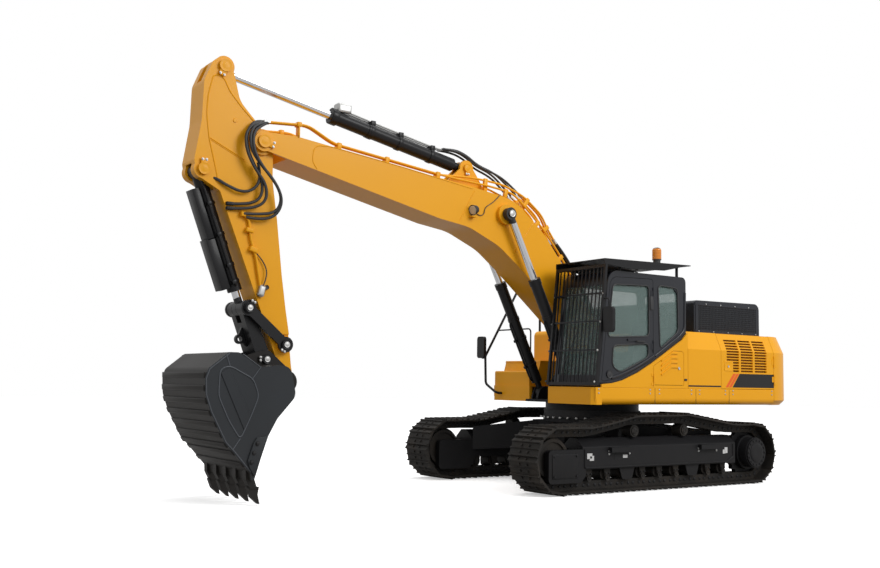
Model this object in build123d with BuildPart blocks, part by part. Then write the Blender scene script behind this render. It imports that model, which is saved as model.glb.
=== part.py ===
from build123d import *
import math
import os

# Crawler excavator of the 36-tonne class, parked with its bucket teeth just off the ground.
# Millimetres. +X is forward (bucket end), +Y is the machine's left (cab side), +Z is up, ground at Z = 0.
# Every length below is measured from the slew axis, which stands SLEW_X ahead of the frame's origin.

SLEW_X = -1665.0  # puts the origin under the middle of the whole machine's length

# General clearances
SEAT = 0.3        # gap between two pieces that rest on each other
PIN_GAP = 0.8     # radial gap of a pin in its bore
SIDE_GAP = 6.0    # gap beside a moving joint
PANEL_GAP = 6.0   # gap round a door or lid

# Tracks
GAUGE = 2590.0            # between the tracks' middles
SHOE_W = 600.0            # shoe width
SHOES = 48                # shoes a side
TUMBLERS = 4040.0         # idler axle to sprocket axle
PITCH_R = 356.0           # chain pitch line round the idler
BOTTOM_H = 101.0          # pitch line above the ground
AXLE_H = 470.0            # idler and sprocket axles above the ground
RAIL_H = 60.0             # pitch line to the rail the rollers run on
SHOE_IN = 56.0            # pitch line to the shoe's underside
SHOE_OUT = 78.0           # pitch line to the shoe's face
NOTCH = 64.0              # pitch line to the bottom of the gap between shoes
CHAIN_Y = 80.0            # link strand's middle from the track's middle
LINK_W = 50.0             # link strand's width
CARRIER_X = 520.0         # carrier rollers ahead of and behind the slew axis
CARRIER_LIFT = 990.0      # pitch line over the carrier rollers
SAG_FRONT = (1380.0, 834.0)    # lowest point of the upper run ahead of the carriers
SAG_REAR = (-1480.0, 846.0)    # and behind them

# Track frames
FRAME_HALF = 205.0        # half width of a track frame's box
FRAME_FRONT = 1570.0
FRAME_REAR = -1610.0
FRAME_Z = (325.0, 630.0)  # lower and upper edge of the outer face
RIDGE_Z = 745.0           # top of the frame's roof
GUARD_Z = (150.0, 600.0)  # idler guard box
GUARD_X = (1568.0, 2180.0)
ROLLER_R = 92.0
ROLLER_FIRST = 1410.0
ROLLER_STEP = 349.0
ROLLERS = 9
CARRIER_R = 86.0
DRIVE_R = 235.0           # final drive cover

# Car body and slew ring
BELLY_Z = 500.0
BODY_TOP = 968.0
BODY_HALF = 700.0
RING_R = 758.0
RING_Z = (968.0, 1092.0)

# Upper structure
SIDE_Y = 1497.5           # outer faces of the upper structure
DECK_LOW = 1212.0
DECK_TOP = 1455.0
FLOOR_T = 40.0
FRONT_LEFT = 1370.0       # front of the deck under the cab
FRONT_RIGHT = 850.0       # front of the deck on the right
SEAM = -2590.0            # where the counterweight starts
MAIN_PLATE_Y = 335.0      # middle of each main plate of the upper frame
MAIN_PLATE_T = 50.0
HOOD_TOP = 2320.0
HOOD_SHOULDER = 2050.0    # where the hood's side starts to lean in
LEAN = 112.0              # how far it leans in
TAIL_R = 3445.0
TAIL_CORNER = 745.0
WEIGHT_BOTTOM = 1210.0
PANEL_T = 30.0            # thickness of a hood panel
BEAM_W = 115.0            # width of the deck beams
ENGINE_SEAT = 1520.0      # level rear of the main plates, under the engine

# Cab
CAB_Y = (512.0, 1468.0)
CAB_FLOOR = 1468.0
CAB_ROOF = 3130.0
CAB_WALL = 55.0

# Pins of the front, as (forward, up) from the slew axis
BOOM_FOOT = (150.0, 2160.0)
BOOM_CYL_FOOT = (700.0, 1350.0)
BOOM_CYL_PIN = (2030.0, 3965.0)
ARM_CYL_FOOT = (2600.0, 4620.0)
BOOM_END = (5905.0, 4485.0)
ARM_CYL_PIN = (6430.0, 5380.0)
BUCKET_CYL_FOOT = (6655.0, 4045.0)
ROCKER_PIN = (5495.0, 1930.0)
LINK_PIN = (6015.0, 2370.0)
BUCKET_PIN = (5460.0, 1460.0)
BUCKET_LINK_PIN = (5750.0, 1740.0)

BOOM_HALF = 290.0
ARM_HALF = 210.0
PIN_R = 55.0
CYL_Y = 412.0             # boom cylinders from the middle
CYL_HALF = 46.0           # half width of their eyes
BUCKET_HALF = 725.0

# Hinges of the doors, hood and lid
HINGE_PIN_R = 4.5
HINGE_R = 8.0             # outer radius of the knuckles
HINGE_L = 90.0            # length of the middle knuckle
HINGE_OUT = 8.5           # axis to the face of a door in the machine's side
LEAF_T = 5.0
LEAF_W = 46.0

HOME = Plane(origin=(SLEW_X, 0, 0), x_dir=(1, 0, 0), z_dir=(0, 0, 1))


def side(y=0.0):
    """Upright plane along the machine at offset y; its axes run forward and up."""
    return Plane(origin=(SLEW_X, y, 0), x_dir=(1, 0, 0), z_dir=(0, -1, 0))


def level(z=0.0):
    """Level plane at height z, centred on the slew axis."""
    return Plane(origin=(SLEW_X, 0, z), x_dir=(1, 0, 0), z_dir=(0, 0, 1))


def cross(x=0.0):
    """Upright plane across the machine, x ahead of the slew axis; its axes run left and up."""
    return Plane(origin=(SLEW_X + x, 0, 0), x_dir=(0, 1, 0), z_dir=(1, 0, 0))


def rounded(table):
    """Draw a closed outline in the open line context; a row holds along, up and corner radius."""
    return FilletPolyline(*[row[:2] for row in table], radius=[row[2] for row in table], close=True)


def along(start, end):
    """Plane in the side view with its origin at start, its X towards end and its Y across."""
    run = math.hypot(end[0] - start[0], end[1] - start[1])
    forward = ((end[0] - start[0]) / run, 0, (end[1] - start[1]) / run)
    return Plane(origin=(SLEW_X + start[0], 0, start[1]), x_dir=forward, z_dir=(0, -1, 0))


def reach(start, end):
    """Distance between two pins."""
    return math.hypot(end[0] - start[0], end[1] - start[1])


def pipe(points, radius, bends):
    """Round bar along points (forward, left, up), with a bend radius at each corner."""
    with BuildPart() as bar:
        with BuildLine() as run:
            FilletPolyline(*[(SLEW_X + x, y, z) for x, y, z in points], radius=bends)
        with BuildSketch(Plane(origin=run.line @ 0, z_dir=run.line % 0)):
            Circle(radius)
        sweep()
    return bar.part


def slab(low, high):
    """Block between two heights, wider than the machine."""
    with BuildPart() as block:
        with BuildSketch(level(low)):
            Rectangle(4 * TAIL_R, 4 * SIDE_Y)
        extrude(amount=high - low)
    return block.part


def hinge_half(axle, leaf_from, leaf_to, moving):
    """One half of a hinge; axle is a plane whose Z is the hinge's axis.

    The leaf is a rectangle in that plane between two corners. The moving half is the middle knuckle, the
    fixed half the pin with a knuckle above and below.
    """
    low, high = -HINGE_L / 2, HINGE_L / 2
    end = HINGE_L / 2
    spans = [(low + SEAT, high - SEAT)] if moving else [(low - end, low - SEAT), (high + SEAT, high + end)]
    with BuildPart() as half:
        for start, stop in spans:
            with BuildSketch(axle.offset(start)):
                Circle(HINGE_R)
                with Locations(((leaf_from[0] + leaf_to[0]) / 2, (leaf_from[1] + leaf_to[1]) / 2)):
                    Rectangle(abs(leaf_to[0] - leaf_from[0]), abs(leaf_to[1] - leaf_from[1]))
                if moving:
                    Circle(HINGE_PIN_R + SEAT, mode=Mode.SUBTRACT)
            extrude(amount=stop - start)
        if not moving:
            with BuildSketch(axle.offset(low - end)):
                Circle(HINGE_PIN_R)
            extrude(amount=HINGE_L + 2 * end)
    return half.part


def write(piece, name):
    """Label a finished sub-part and write it as STEP."""
    piece.part.label = name
    export_step(piece.part, f"parts/{name}.step")


os.makedirs("parts", exist_ok=True)


# Tracks: one closed loop a side, its shoes in the outline and its two link strands inside
# Loop corners on the chain's pitch line: forward, up, corner radius
LOOP = [
    (TUMBLERS / 2 + PITCH_R, BOTTOM_H, PITCH_R - 1),
    (TUMBLERS / 2 + PITCH_R, AXLE_H + PITCH_R, PITCH_R - 1),
    (*SAG_FRONT, 900),
    (CARRIER_X, CARRIER_LIFT, 500),
    (-CARRIER_X, CARRIER_LIFT, 500),
    (*SAG_REAR, 900),
    (-TUMBLERS / 2 - PITCH_R, AXLE_H + PITCH_R, PITCH_R - 1),
    (-TUMBLERS / 2 - PITCH_R, BOTTOM_H, PITCH_R - 1),
]
with BuildLine(side()) as pitch_line:
    rounded(LOOP)
chain = pitch_line.wire()
SHOE_PITCH = chain.length / SHOES


def loop_points(table):
    """Points of the loop's outline: rows of (along the shoe, above the pitch line) at each shoe."""
    points = []
    for shoe in range(SHOES):
        here = (shoe + 0.5) / SHOES
        middle = chain.position_at(here)
        run = chain.tangent_at(here)
        out = Vector(run.Z, 0, -run.X)
        if out.dot(middle - Vector(SLEW_X, 0, AXLE_H)) < 0:
            out = out * -1
        for forward, height in table:
            spot = middle + run * forward + out * height
            points.append((spot.X - SLEW_X, spot.Z))
    return points


HALF_SHOE = SHOE_PITCH / 2
SHOE_ROWS = [
    (-HALF_SHOE, NOTCH),
    (-HALF_SHOE + 5, BOTTOM_H),
    (-HALF_SHOE + 19, BOTTOM_H),
    (-HALF_SHOE + 27, SHOE_OUT),
    (-12, SHOE_OUT),
    (0, BOTTOM_H),
    (12, SHOE_OUT),
    (HALF_SHOE - 27, SHOE_OUT),
    (HALF_SHOE - 19, BOTTOM_H),
    (HALF_SHOE - 5, BOTTOM_H),
]
for tag, hand in (("left", 1), ("right", -1)):
    middle_y = hand * GAUGE / 2
    with BuildPart() as track:
        with BuildSketch(side(middle_y)):
            with BuildLine():
                Polyline(*loop_points(SHOE_ROWS), close=True)
            make_face()
            with BuildLine():
                Polyline(*loop_points([(-HALF_SHOE, SHOE_IN)]), close=True)
            make_face(mode=Mode.SUBTRACT)
        extrude(amount=SHOE_W / 2, both=True)
        for strand_y in (middle_y - CHAIN_Y, middle_y + CHAIN_Y):
            with BuildSketch(side(strand_y)):
                with BuildLine():
                    Polyline(*loop_points([(-HALF_SHOE, SHOE_IN + 2)]), close=True)
                make_face()
                with BuildLine():
                    Polyline(*loop_points([(-HALF_SHOE, -RAIL_H)]), close=True)
                make_face(mode=Mode.SUBTRACT)
            extrude(amount=LINK_W / 2, both=True)
    write(track, f"track_{tag}")


# Wheels the tracks run on. A row of a wheel's profile: radius, half width
RAIL_Z = BOTTOM_H + RAIL_H
ROLLER_Z = RAIL_Z + ROLLER_R + SEAT
CHORD = 0.5 * SHOE_PITCH
IDLER_R = math.sqrt((PITCH_R - RAIL_H) ** 2 - (CHORD * (PITCH_R - RAIL_H) / PITCH_R) ** 2) - 3
AXLE_R = 50.0
TREAD_HALF = CHAIN_Y + LINK_W / 2 + 2
GUIDE_HALF = CHAIN_Y - LINK_W / 2 - 4
CARRIER_Z = CARRIER_LIFT - RAIL_H - CARRIER_R - 8

with BuildPart() as idlers:
    for hand in (1, -1):
        with BuildSketch(side(hand * GAUGE / 2)):
            with Locations((TUMBLERS / 2, AXLE_H)):
                Circle(IDLER_R)
                Circle(AXLE_R + SEAT, mode=Mode.SUBTRACT)
        extrude(amount=TREAD_HALF, both=True)
        with BuildSketch(side(hand * GAUGE / 2)):
            with Locations((TUMBLERS / 2, AXLE_H)):
                Circle(IDLER_R + 28)
                Circle(AXLE_R + SEAT, mode=Mode.SUBTRACT)
        extrude(amount=GUIDE_HALF, both=True)
        for face in (1, -1):
            with BuildSketch(side(hand * GAUGE / 2 + face * TREAD_HALF)):
                with Locations((TUMBLERS / 2, AXLE_H)):
                    Circle(IDLER_R - 45)
                    Circle(AXLE_R + 60, mode=Mode.SUBTRACT)
            extrude(amount=24, both=True, mode=Mode.SUBTRACT)
write(idlers, "idlers")

# Sprocket with its teeth between the link strands, and the final drive it is bolted to
TEETH = 21
SPROCKET_R = PITCH_R + 16
COVER_FACE = GAUGE / 2 + SHOE_W / 2 - 8
with BuildPart() as sprockets:
    for hand in (1, -1):
        with BuildSketch(side(hand * GAUGE / 2)):
            with Locations((-TUMBLERS / 2, AXLE_H)):
                Circle(SPROCKET_R)
                Circle(DRIVE_R - 40, mode=Mode.SUBTRACT)
            with Locations((-TUMBLERS / 2, AXLE_H)):
                with PolarLocations(SPROCKET_R + 12, TEETH):
                    Circle(40, mode=Mode.SUBTRACT)
        extrude(amount=36, both=True)
        # rows: radius, inner and outer distance from the machine's middle
        for radius, near, far in [
            (DRIVE_R - 20, GAUGE / 2 - 60, GAUGE / 2 + 60),
            (DRIVE_R + 30, GAUGE / 2 + 30, GAUGE / 2 + 120),
            (DRIVE_R, GAUGE / 2 + 110, COVER_FACE - 25),
            (DRIVE_R - 18, COVER_FACE - 30, COVER_FACE),
            (DRIVE_R - 10, GAUGE / 2 - 200, GAUGE / 2 - 50),
        ]:
            with BuildSketch(side(hand * near)):
                with Locations((-TUMBLERS / 2, AXLE_H)):
                    Circle(radius)
            extrude(amount=-hand * (far - near))
write(sprockets, "sprockets")

with BuildPart() as rollers:
    for hand in (1, -1):
        for step in range(ROLLERS):
            spot = (ROLLER_FIRST - step * ROLLER_STEP, ROLLER_Z)
            with BuildSketch(side(hand * GAUGE / 2)):
                with Locations(spot):
                    Circle(ROLLER_R)
            extrude(amount=TREAD_HALF, both=True)
            # end collars that hang the roller under the frame
            for face in (1, -1):
                with BuildSketch(side(hand * GAUGE / 2 + face * (TREAD_HALF + 22))):
                    with BuildLine():
                        rounded([(spot[0] - 62, FRAME_Z[0] - SEAT, 0), (spot[0] + 62, FRAME_Z[0] - SEAT, 0),
                                 (spot[0] + 40, ROLLER_Z - 50, 25), (spot[0] - 40, ROLLER_Z - 50, 25)])
                    make_face()
                extrude(amount=22, both=True)
        for spot_x in (CARRIER_X, -CARRIER_X):
            with BuildSketch(side(hand * (GAUGE / 2 - 30))):
                with Locations((spot_x, CARRIER_Z)):
                    Circle(CARRIER_R)
            extrude(amount=-hand * 180)
write(rollers, "rollers")

# Track frames: a roofed box with the idler's guard boxes ahead of it and two roller guards under it
with BuildPart() as track_frames:
    for hand in (1, -1):
        middle_y = hand * GAUGE / 2
        # rows: across from the track's middle, up, corner radius
        with BuildSketch(cross(FRAME_REAR)):
            with BuildLine():
                rounded([(middle_y - FRAME_HALF, FRAME_Z[0], 0), (middle_y + FRAME_HALF, FRAME_Z[0], 0),
                         (middle_y + FRAME_HALF, FRAME_Z[1], 18), (middle_y + 70, RIDGE_Z, 30),
                         (middle_y - 70, RIDGE_Z, 30), (middle_y - FRAME_HALF, FRAME_Z[1], 18)])
            make_face()
        extrude(amount=FRAME_FRONT - FRAME_REAR)
        # channel underneath, over the rollers
        with BuildSketch(cross(FRAME_REAR - 10)):
            with Locations((middle_y, FRAME_Z[0])):
                Rectangle(2 * TREAD_HALF + 10, 2 * (ROLLER_Z + ROLLER_R + 8 - FRAME_Z[0]))
        extrude(amount=FRAME_FRONT - FRAME_REAR + 20, mode=Mode.SUBTRACT)
        for face in (1, -1):
            inner = TREAD_HALF + 6
            with BuildSketch(side(middle_y + face * (inner + FRAME_HALF) / 2)):
                with BuildLine():
                    rounded([(GUARD_X[0] - 60, GUARD_Z[0] + 90, 0), (GUARD_X[0] + 30, GUARD_Z[0], 30),
                             (GUARD_X[1], GUARD_Z[0], 60), (GUARD_X[1], GUARD_Z[1], 60),
                             (GUARD_X[0] - 60, GUARD_Z[1], 0)])
                make_face()
            extrude(amount=(FRAME_HALF - inner) / 2, both=True)
        with BuildSketch(side(middle_y)):
            with Locations((TUMBLERS / 2, AXLE_H)):
                Circle(AXLE_R)
        extrude(amount=FRAME_HALF - 10, both=True)
        # motor bracket round the final drive's neck
        with BuildSketch(side(middle_y - hand * (FRAME_HALF - 30))):
            with BuildLine():
                rounded([(FRAME_REAR + 40, FRAME_Z[0], 0), (FRAME_REAR + 40, RIDGE_Z - 40, 0),
                         (-TUMBLERS / 2 - 180, AXLE_H + 190, 150), (-TUMBLERS / 2 - 180, AXLE_H - 190, 150)])
            make_face()
        extrude(amount=28, both=True)
        with BuildSketch(side(middle_y)):
            with Locations((-TUMBLERS / 2, AXLE_H)):
                Circle(DRIVE_R - 10 + SEAT)
        extrude(amount=FRAME_HALF + 40, both=True, mode=Mode.SUBTRACT)
        for guard_x in (690, -670):
            for face in (1, -1):
                with BuildSketch(side(middle_y + face * (TREAD_HALF + 56))):
                    with BuildLine():
                        rounded([(guard_x - 150, FRAME_Z[0] + 5, 0), (guard_x + 150, FRAME_Z[0] + 5, 0),
                                 (guard_x + 95, RAIL_Z + 2, 45), (guard_x - 95, RAIL_Z + 2, 45)])
                    make_face()
                extrude(amount=9, both=True)
        # carrier roller stands
        for spot_x in (CARRIER_X, -CARRIER_X):
            with BuildSketch(side(middle_y - hand * (30 + SEAT))):
                with BuildLine():
                    rounded([(spot_x - 110, RIDGE_Z - 60, 0), (spot_x + 110, RIDGE_Z - 60, 0),
                             (spot_x + 50, CARRIER_Z + 30, 20), (spot_x - 50, CARRIER_Z + 30, 20)])
                make_face()
            extrude(amount=hand * 70)
        # two steps on the outer face
        for step_x in (875, -975):
            with Locations((SLEW_X + step_x, middle_y + hand * (FRAME_HALF + 32), FRAME_Z[1] - 45)):
                Box(410, 70, 70)
            with Locations((SLEW_X + step_x, middle_y + hand * (FRAME_HALF + 28), FRAME_Z[1] - 51)):
                Box(386, 62, 70, mode=Mode.SUBTRACT)
write(track_frames, "track_frames")

# Car body: a deep middle box with four legs out to the track frames and a tow plate at each end
with BuildPart(HOME) as car_body:
    with Locations((0, 0, (BELLY_Z + BODY_TOP - 40) / 2)):
        Box(2 * BODY_HALF, 2 * BODY_HALF - 160, BODY_TOP - 40 - BELLY_Z)
    with BuildSketch(level(BODY_TOP - 60)):
        Circle(RING_R + 10)
    extrude(amount=60)
    for fore in (1, -1):
        for hand in (1, -1):
            # a leg runs from the box to the frame; rows: across, near x, far x, low z, high z
            for near, far in [((500, 120, 690, 505, 925), (GAUGE / 2 - FRAME_HALF - SEAT, 800, 1540, 440, 800))]:
                for across, x_near, x_far, z_low, z_high in (near, far):
                    with BuildSketch(side(hand * across)):
                        with Locations((fore * (x_near + x_far) / 2, (z_low + z_high) / 2)):
                            Rectangle(x_far - x_near, z_high - z_low)
                loft()
    TOW_R = 38.0
    TOW_T = 50.0
    TOW_X = 800.0
    for fore in (1, -1):
        with BuildSketch(level(BELLY_Z + 60)):
            with BuildLine():
                rounded([(fore * (BODY_HALF - 30), -170, 0), (fore * (BODY_HALF - 30), 170, 0),
                         (fore * (TOW_X + 90), 60, 60), (fore * (TOW_X + 90), -60, 60)])
            make_face()
            with Locations((fore * TOW_X, 0)):
                Circle(TOW_R, mode=Mode.SUBTRACT)
        extrude(amount=TOW_T)
write(car_body, "car_body")

with BuildPart() as slew_ring:
    with BuildSketch(level(RING_Z[0])):
        Circle(RING_R)
        Circle(RING_R - 130, mode=Mode.SUBTRACT)
    extrude(amount=RING_Z[1] - RING_Z[0])
write(slew_ring, "slew_ring")

# Upper frame: floor, ring seat, two main plates with the boom foot, and the cylinder foot ears
BOOM_EAR_R = 205.0
CYL_EAR_R = 105.0
FOOT_HALF = 305.0         # half width of the boom's foot boss
FLOOR_HALF = SIDE_Y - BEAM_W - SEAT
# Side view of a main plate: forward, up, corner radius
MAIN_PLATE = [
    (SEAM + SEAT, DECK_LOW, 0), (880, DECK_LOW, 60), (815, 1400, 80), (620, 1440, 60), (430, 1700, 150),
    (BOOM_FOOT[0] + BOOM_EAR_R, BOOM_FOOT[1], 0), (BOOM_FOOT[0], BOOM_FOOT[1] + BOOM_EAR_R, 0),
    (BOOM_FOOT[0] - BOOM_EAR_R, BOOM_FOOT[1], 100), (-560, 1560, 200), (-1200, ENGINE_SEAT, 200),
    (SEAM + SEAT, ENGINE_SEAT, 0),
]
with BuildPart() as upper_frame:
    # floor, set back on the right; rows: forward, left, corner radius
    with BuildSketch(level(DECK_LOW)):
        with BuildLine():
            rounded([(SEAM + SEAT, -FLOOR_HALF, 0), (FRONT_RIGHT - 60, -FLOOR_HALF, 0),
                     (FRONT_RIGHT - 60, -520, 0), (930, -520, 0), (930, 520, 0), (FRONT_LEFT - 60, 520, 0),
                     (FRONT_LEFT - 60, FLOOR_HALF, 0), (SEAM + SEAT, FLOOR_HALF, 0)])
        make_face()
    extrude(amount=FLOOR_T)
    with BuildSketch(level(RING_Z[1] + SEAT)):
        Circle(RING_R - 25)
        Circle(RING_R - 170, mode=Mode.SUBTRACT)
    extrude(amount=DECK_LOW - RING_Z[1] - SEAT)
    for hand in (1, -1):
        with BuildSketch(side(hand * MAIN_PLATE_Y)):
            with BuildLine():
                rounded(MAIN_PLATE)
            make_face()
            with Locations(BOOM_FOOT):
                Circle(BOOM_EAR_R)
            with Locations(BOOM_CYL_FOOT):
                Circle(CYL_EAR_R)
        extrude(amount=MAIN_PLATE_T / 2, both=True)
        # outer ear of the boom cylinder's foot
        with BuildSketch(side(hand * (CYL_Y + CYL_HALF + SIDE_GAP + 16))):
            with BuildLine():
                rounded([(560, DECK_LOW, 0), (860, DECK_LOW, 60), (800, 1400, 60), (610, 1400, 60)])
            make_face()
            with Locations(BOOM_CYL_FOOT):
                Circle(CYL_EAR_R)
        extrude(amount=16, both=True)
        with BuildSketch(side(hand * CYL_Y)):
            with Locations(BOOM_CYL_FOOT):
                Circle(PIN_R - 5)
        extrude(amount=80, both=True)
        with BuildSketch(side(hand * (MAIN_PLATE_Y + 25))):
            with Locations(BOOM_FOOT):
                Circle(PIN_R + PIN_GAP)
        extrude(amount=60, both=True, mode=Mode.SUBTRACT)
    # cross web between the main plates, behind the boom's foot
    with BuildSketch(cross(-560)):
        with Locations((0, (DECK_LOW + 1540) / 2)):
            Rectangle(2 * MAIN_PLATE_Y, 1540 - DECK_LOW)
    extrude(amount=30)
write(upper_frame, "upper_frame")

# Side frames: the rounded beams that run round the deck, a bent front piece on the left
def beam_section(y_out, hand):
    """Section of a deck beam that faces outwards at y_out; rows: across, up, corner radius."""
    return [(y_out, DECK_TOP, 12), (y_out, DECK_LOW, 95), (y_out - hand * BEAM_W, DECK_LOW, 0),
            (y_out - hand * BEAM_W, DECK_TOP, 0)]


with BuildPart() as side_frames:
    for hand, front in ((1, FRONT_LEFT), (-1, FRONT_RIGHT)):
        with BuildSketch(cross(SEAM + PANEL_GAP)):
            with BuildLine():
                rounded(beam_section(hand * SIDE_Y, hand))
            make_face()
        extrude(amount=front - SEAM - PANEL_GAP - 40)
        # front beam, with its corner cut at 45 degrees in plan; rows: forward, left, corner radius
        inner_y = hand * 530
        with BuildSketch(level(DECK_LOW)):
            with BuildLine():
                rounded([(front - 55, inner_y, 0), (front, inner_y, 0), (front, hand * (SIDE_Y - 60), 0),
                         (front - 60, hand * SIDE_Y, 0), (front - 160, hand * SIDE_Y, 0),
                         (front - 160, hand * (SIDE_Y - 110), 0), (front - 55, hand * (SIDE_Y - 110), 0)])
            make_face()
        extrude(amount=DECK_TOP - DECK_LOW)
        # deck plate over the beam
        with BuildSketch(level(DECK_TOP - 12)):
            with BuildLine():
                rounded([(SEAM + PANEL_GAP, hand * 470, 0), (front - 10, hand * 530, 0),
                         (front - 10, hand * (SIDE_Y - 70), 0), (SEAM + PANEL_GAP, hand * (SIDE_Y - 5), 0)])
            make_face()
        extrude(amount=12)
write(side_frames, "side_frames")

# Counterweight: plan follows the tail radius, with leaning upper and chamfered lower edges
def weight_plan(inset):
    """Draw the counterweight's plan, shrunk by inset, in the open line context."""
    half = SIDE_Y - inset
    tail = TAIL_R - inset
    corner = TAIL_CORNER - inset
    corner_y = half - corner
    corner_x = -math.sqrt((tail - corner) ** 2 - corner_y ** 2)
    angle = math.atan2(corner_y, -corner_x)
    touch = (-tail * math.cos(angle), tail * math.sin(angle))
    mid = (corner_x - corner * math.cos((angle + math.pi / 2) / 2),
           corner_y + corner * math.sin((angle + math.pi / 2) / 2))
    Polyline((corner_x, half), (SEAM + 300, half), (SEAM + 300, -half), (corner_x, -half))
    ThreePointArc((corner_x, half), mid, touch)
    ThreePointArc(touch, (-tail, 0), (touch[0], -touch[1]))
    ThreePointArc((touch[0], -touch[1]), (mid[0], -mid[1]), (corner_x, -half))


WEIGHT_SHOULDER = HOOD_SHOULDER
REAR_HINGE_X = SEAM + PANEL_GAP / 2
REAR_HINGE_Z = (1620.0, 1900.0)
with BuildPart() as counterweight:
    with BuildSketch(level(WEIGHT_BOTTOM + 75)):
        with BuildLine():
            weight_plan(0)
        make_face()
    extrude(amount=WEIGHT_SHOULDER - WEIGHT_BOTTOM - 75)
    for z_low, z_high, inset_low, inset_high in [
        (WEIGHT_BOTTOM, WEIGHT_BOTTOM + 75, 75, 0),
        (WEIGHT_SHOULDER, HOOD_TOP, 0, LEAN),
    ]:
        for height, inset in ((z_low, inset_low), (z_high, inset_high)):
            with BuildSketch(level(height)):
                with BuildLine():
                    weight_plan(inset)
                make_face()
        loft()
    # cut back to the seam, and a recess for the engine bay
    with BuildSketch(level(WEIGHT_BOTTOM - 10)):
        with Locations((SEAM + 500, 0)):
            Rectangle(1000, 4000)
    extrude(amount=1400, mode=Mode.SUBTRACT)
    # lifting eyes sunk in the top
    LIFT_R = 45.0
    LIFT_X = SEAM - 330
    LIFT_Y = 800.0
    LIFT_LENGTH = 160.0
    for hand in (1, -1):
        with BuildSketch(level(HOOD_TOP - LIFT_LENGTH)):
            with Locations((LIFT_X, hand * LIFT_Y)):
                Circle(LIFT_R)
        extrude(amount=LIFT_LENGTH + 10, mode=Mode.SUBTRACT)
    # fixed halves of the rear doors' hinges
    for hand in (1, -1):
        for up in REAR_HINGE_Z:
            add(hinge_half(Plane(origin=(SLEW_X + REAR_HINGE_X, hand * (SIDE_Y + HINGE_OUT), up), z_dir=(0, 0, 1)),
                           (-LEAF_W, -hand * (HINGE_OUT + 1)), (0, -hand * (HINGE_OUT - LEAF_T)), moving=False))
write(counterweight, "counterweight")


# Hood: bent side panels, a flat top with an opening, and doors on both sides
# Section of a hood side, seen from behind: across, up; it leans in above the shoulder
def hood_side(hand, y_out=SIDE_Y, low=DECK_TOP + PANEL_GAP, top=HOOD_TOP, thick=PANEL_T):
    """Draw a bent panel's section in the open line context."""
    lean_at_top = LEAN * (top - HOOD_SHOULDER) / (HOOD_TOP - HOOD_SHOULDER)
    Polyline((hand * y_out, low), (hand * y_out, HOOD_SHOULDER), (hand * (y_out - lean_at_top), top),
             (hand * (y_out - lean_at_top - thick), top), (hand * (y_out - thick), HOOD_SHOULDER - 6),
             (hand * (y_out - thick), low), close=True)


CAB_SEAM = -560.0         # panel seam behind the cab
MID_SEAM = -1310.0        # seam between middle panel and rear door
# Lower edge of the cab's side, which the yellow skin follows: forward, up
SWEEP = [(1215, 1498), (1000, 1516), (810, 1556), (500, 1670), (200, 1820), (-440, 2180), (-590, 2318)]

# Skin under the cab's swept edge, with an opening for the louvred door
LOUVRE_DOOR = [(184, 1498, 20), (184, 1776, 25), (-235, 2012, 60), (-468, 2012, 60), (-468, 1498, 20)]
SKIN_T = 24.0
LOUVRE_HINGE_X = LOUVRE_DOOR[0][0] - PANEL_GAP / 2
LOUVRE_HINGE_Z = (1580.0,)
TANK_X = (-940.0, -50.0)
with BuildPart() as side_panels:
    with BuildSketch(cross(MID_SEAM + PANEL_GAP / 2)):
        with BuildLine():
            hood_side(1, low=DECK_TOP + SEAT)
        make_face()
    extrude(amount=CAB_SEAM - MID_SEAM - PANEL_GAP)
    with BuildSketch(cross(MID_SEAM + PANEL_GAP / 2)):
        with BuildLine():
            hood_side(-1, low=DECK_TOP + SEAT)
        make_face()
    extrude(amount=TANK_X[0] - MID_SEAM - PANEL_GAP)
    with BuildSketch(side(SIDE_Y - SKIN_T / 2)):
        with BuildLine():
            Polyline((CAB_SEAM + PANEL_GAP / 2, DECK_TOP + SEAT), (SWEEP[0][0], DECK_TOP + SEAT),
                     *SWEEP[:-1], (CAB_SEAM + PANEL_GAP / 2, 2292), close=True)
        make_face()
        with BuildLine():
            rounded(LOUVRE_DOOR)
        make_face(mode=Mode.SUBTRACT)
    extrude(amount=SKIN_T / 2, both=True)
    for up in LOUVRE_HINGE_Z:
        add(hinge_half(Plane(origin=(SLEW_X + LOUVRE_HINGE_X, SIDE_Y + HINGE_OUT, up), z_dir=(0, 0, 1)),
                       (LEAF_W, -HINGE_OUT - 1), (0, LEAF_T - HINGE_OUT), moving=False))
write(side_panels, "side_panels")

with BuildPart() as louvre_door:
    with BuildSketch(side(SIDE_Y - SKIN_T / 2)):
        with BuildLine():
            rounded(LOUVRE_DOOR)
        make_face()
        offset(amount=-PANEL_GAP, mode=Mode.REPLACE)
    extrude(amount=SKIN_T / 2, both=True)
    # four bent louvres pressed out of the door
    for row in range(4):
        rise = 68 * row
        with BuildSketch(side(SIDE_Y - SKIN_T)):
            with BuildLine():
                Polyline((20, 1640 + rise), (-190, 1760 + rise), (-330, 1760 + rise), (-330, 1784 + rise),
                         (-196, 1784 + rise), (20, 1664 + rise), close=True)
            make_face()
        extrude(amount=-SKIN_T - 14)
    for up in LOUVRE_HINGE_Z:
        add(hinge_half(Plane(origin=(SLEW_X + LOUVRE_HINGE_X, SIDE_Y + HINGE_OUT, up), z_dir=(0, 0, 1)),
                       (-LEAF_W, -HINGE_OUT - 1), (0, LEAF_T - HINGE_OUT), moving=True))
write(louvre_door, "louvre_door")

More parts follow.
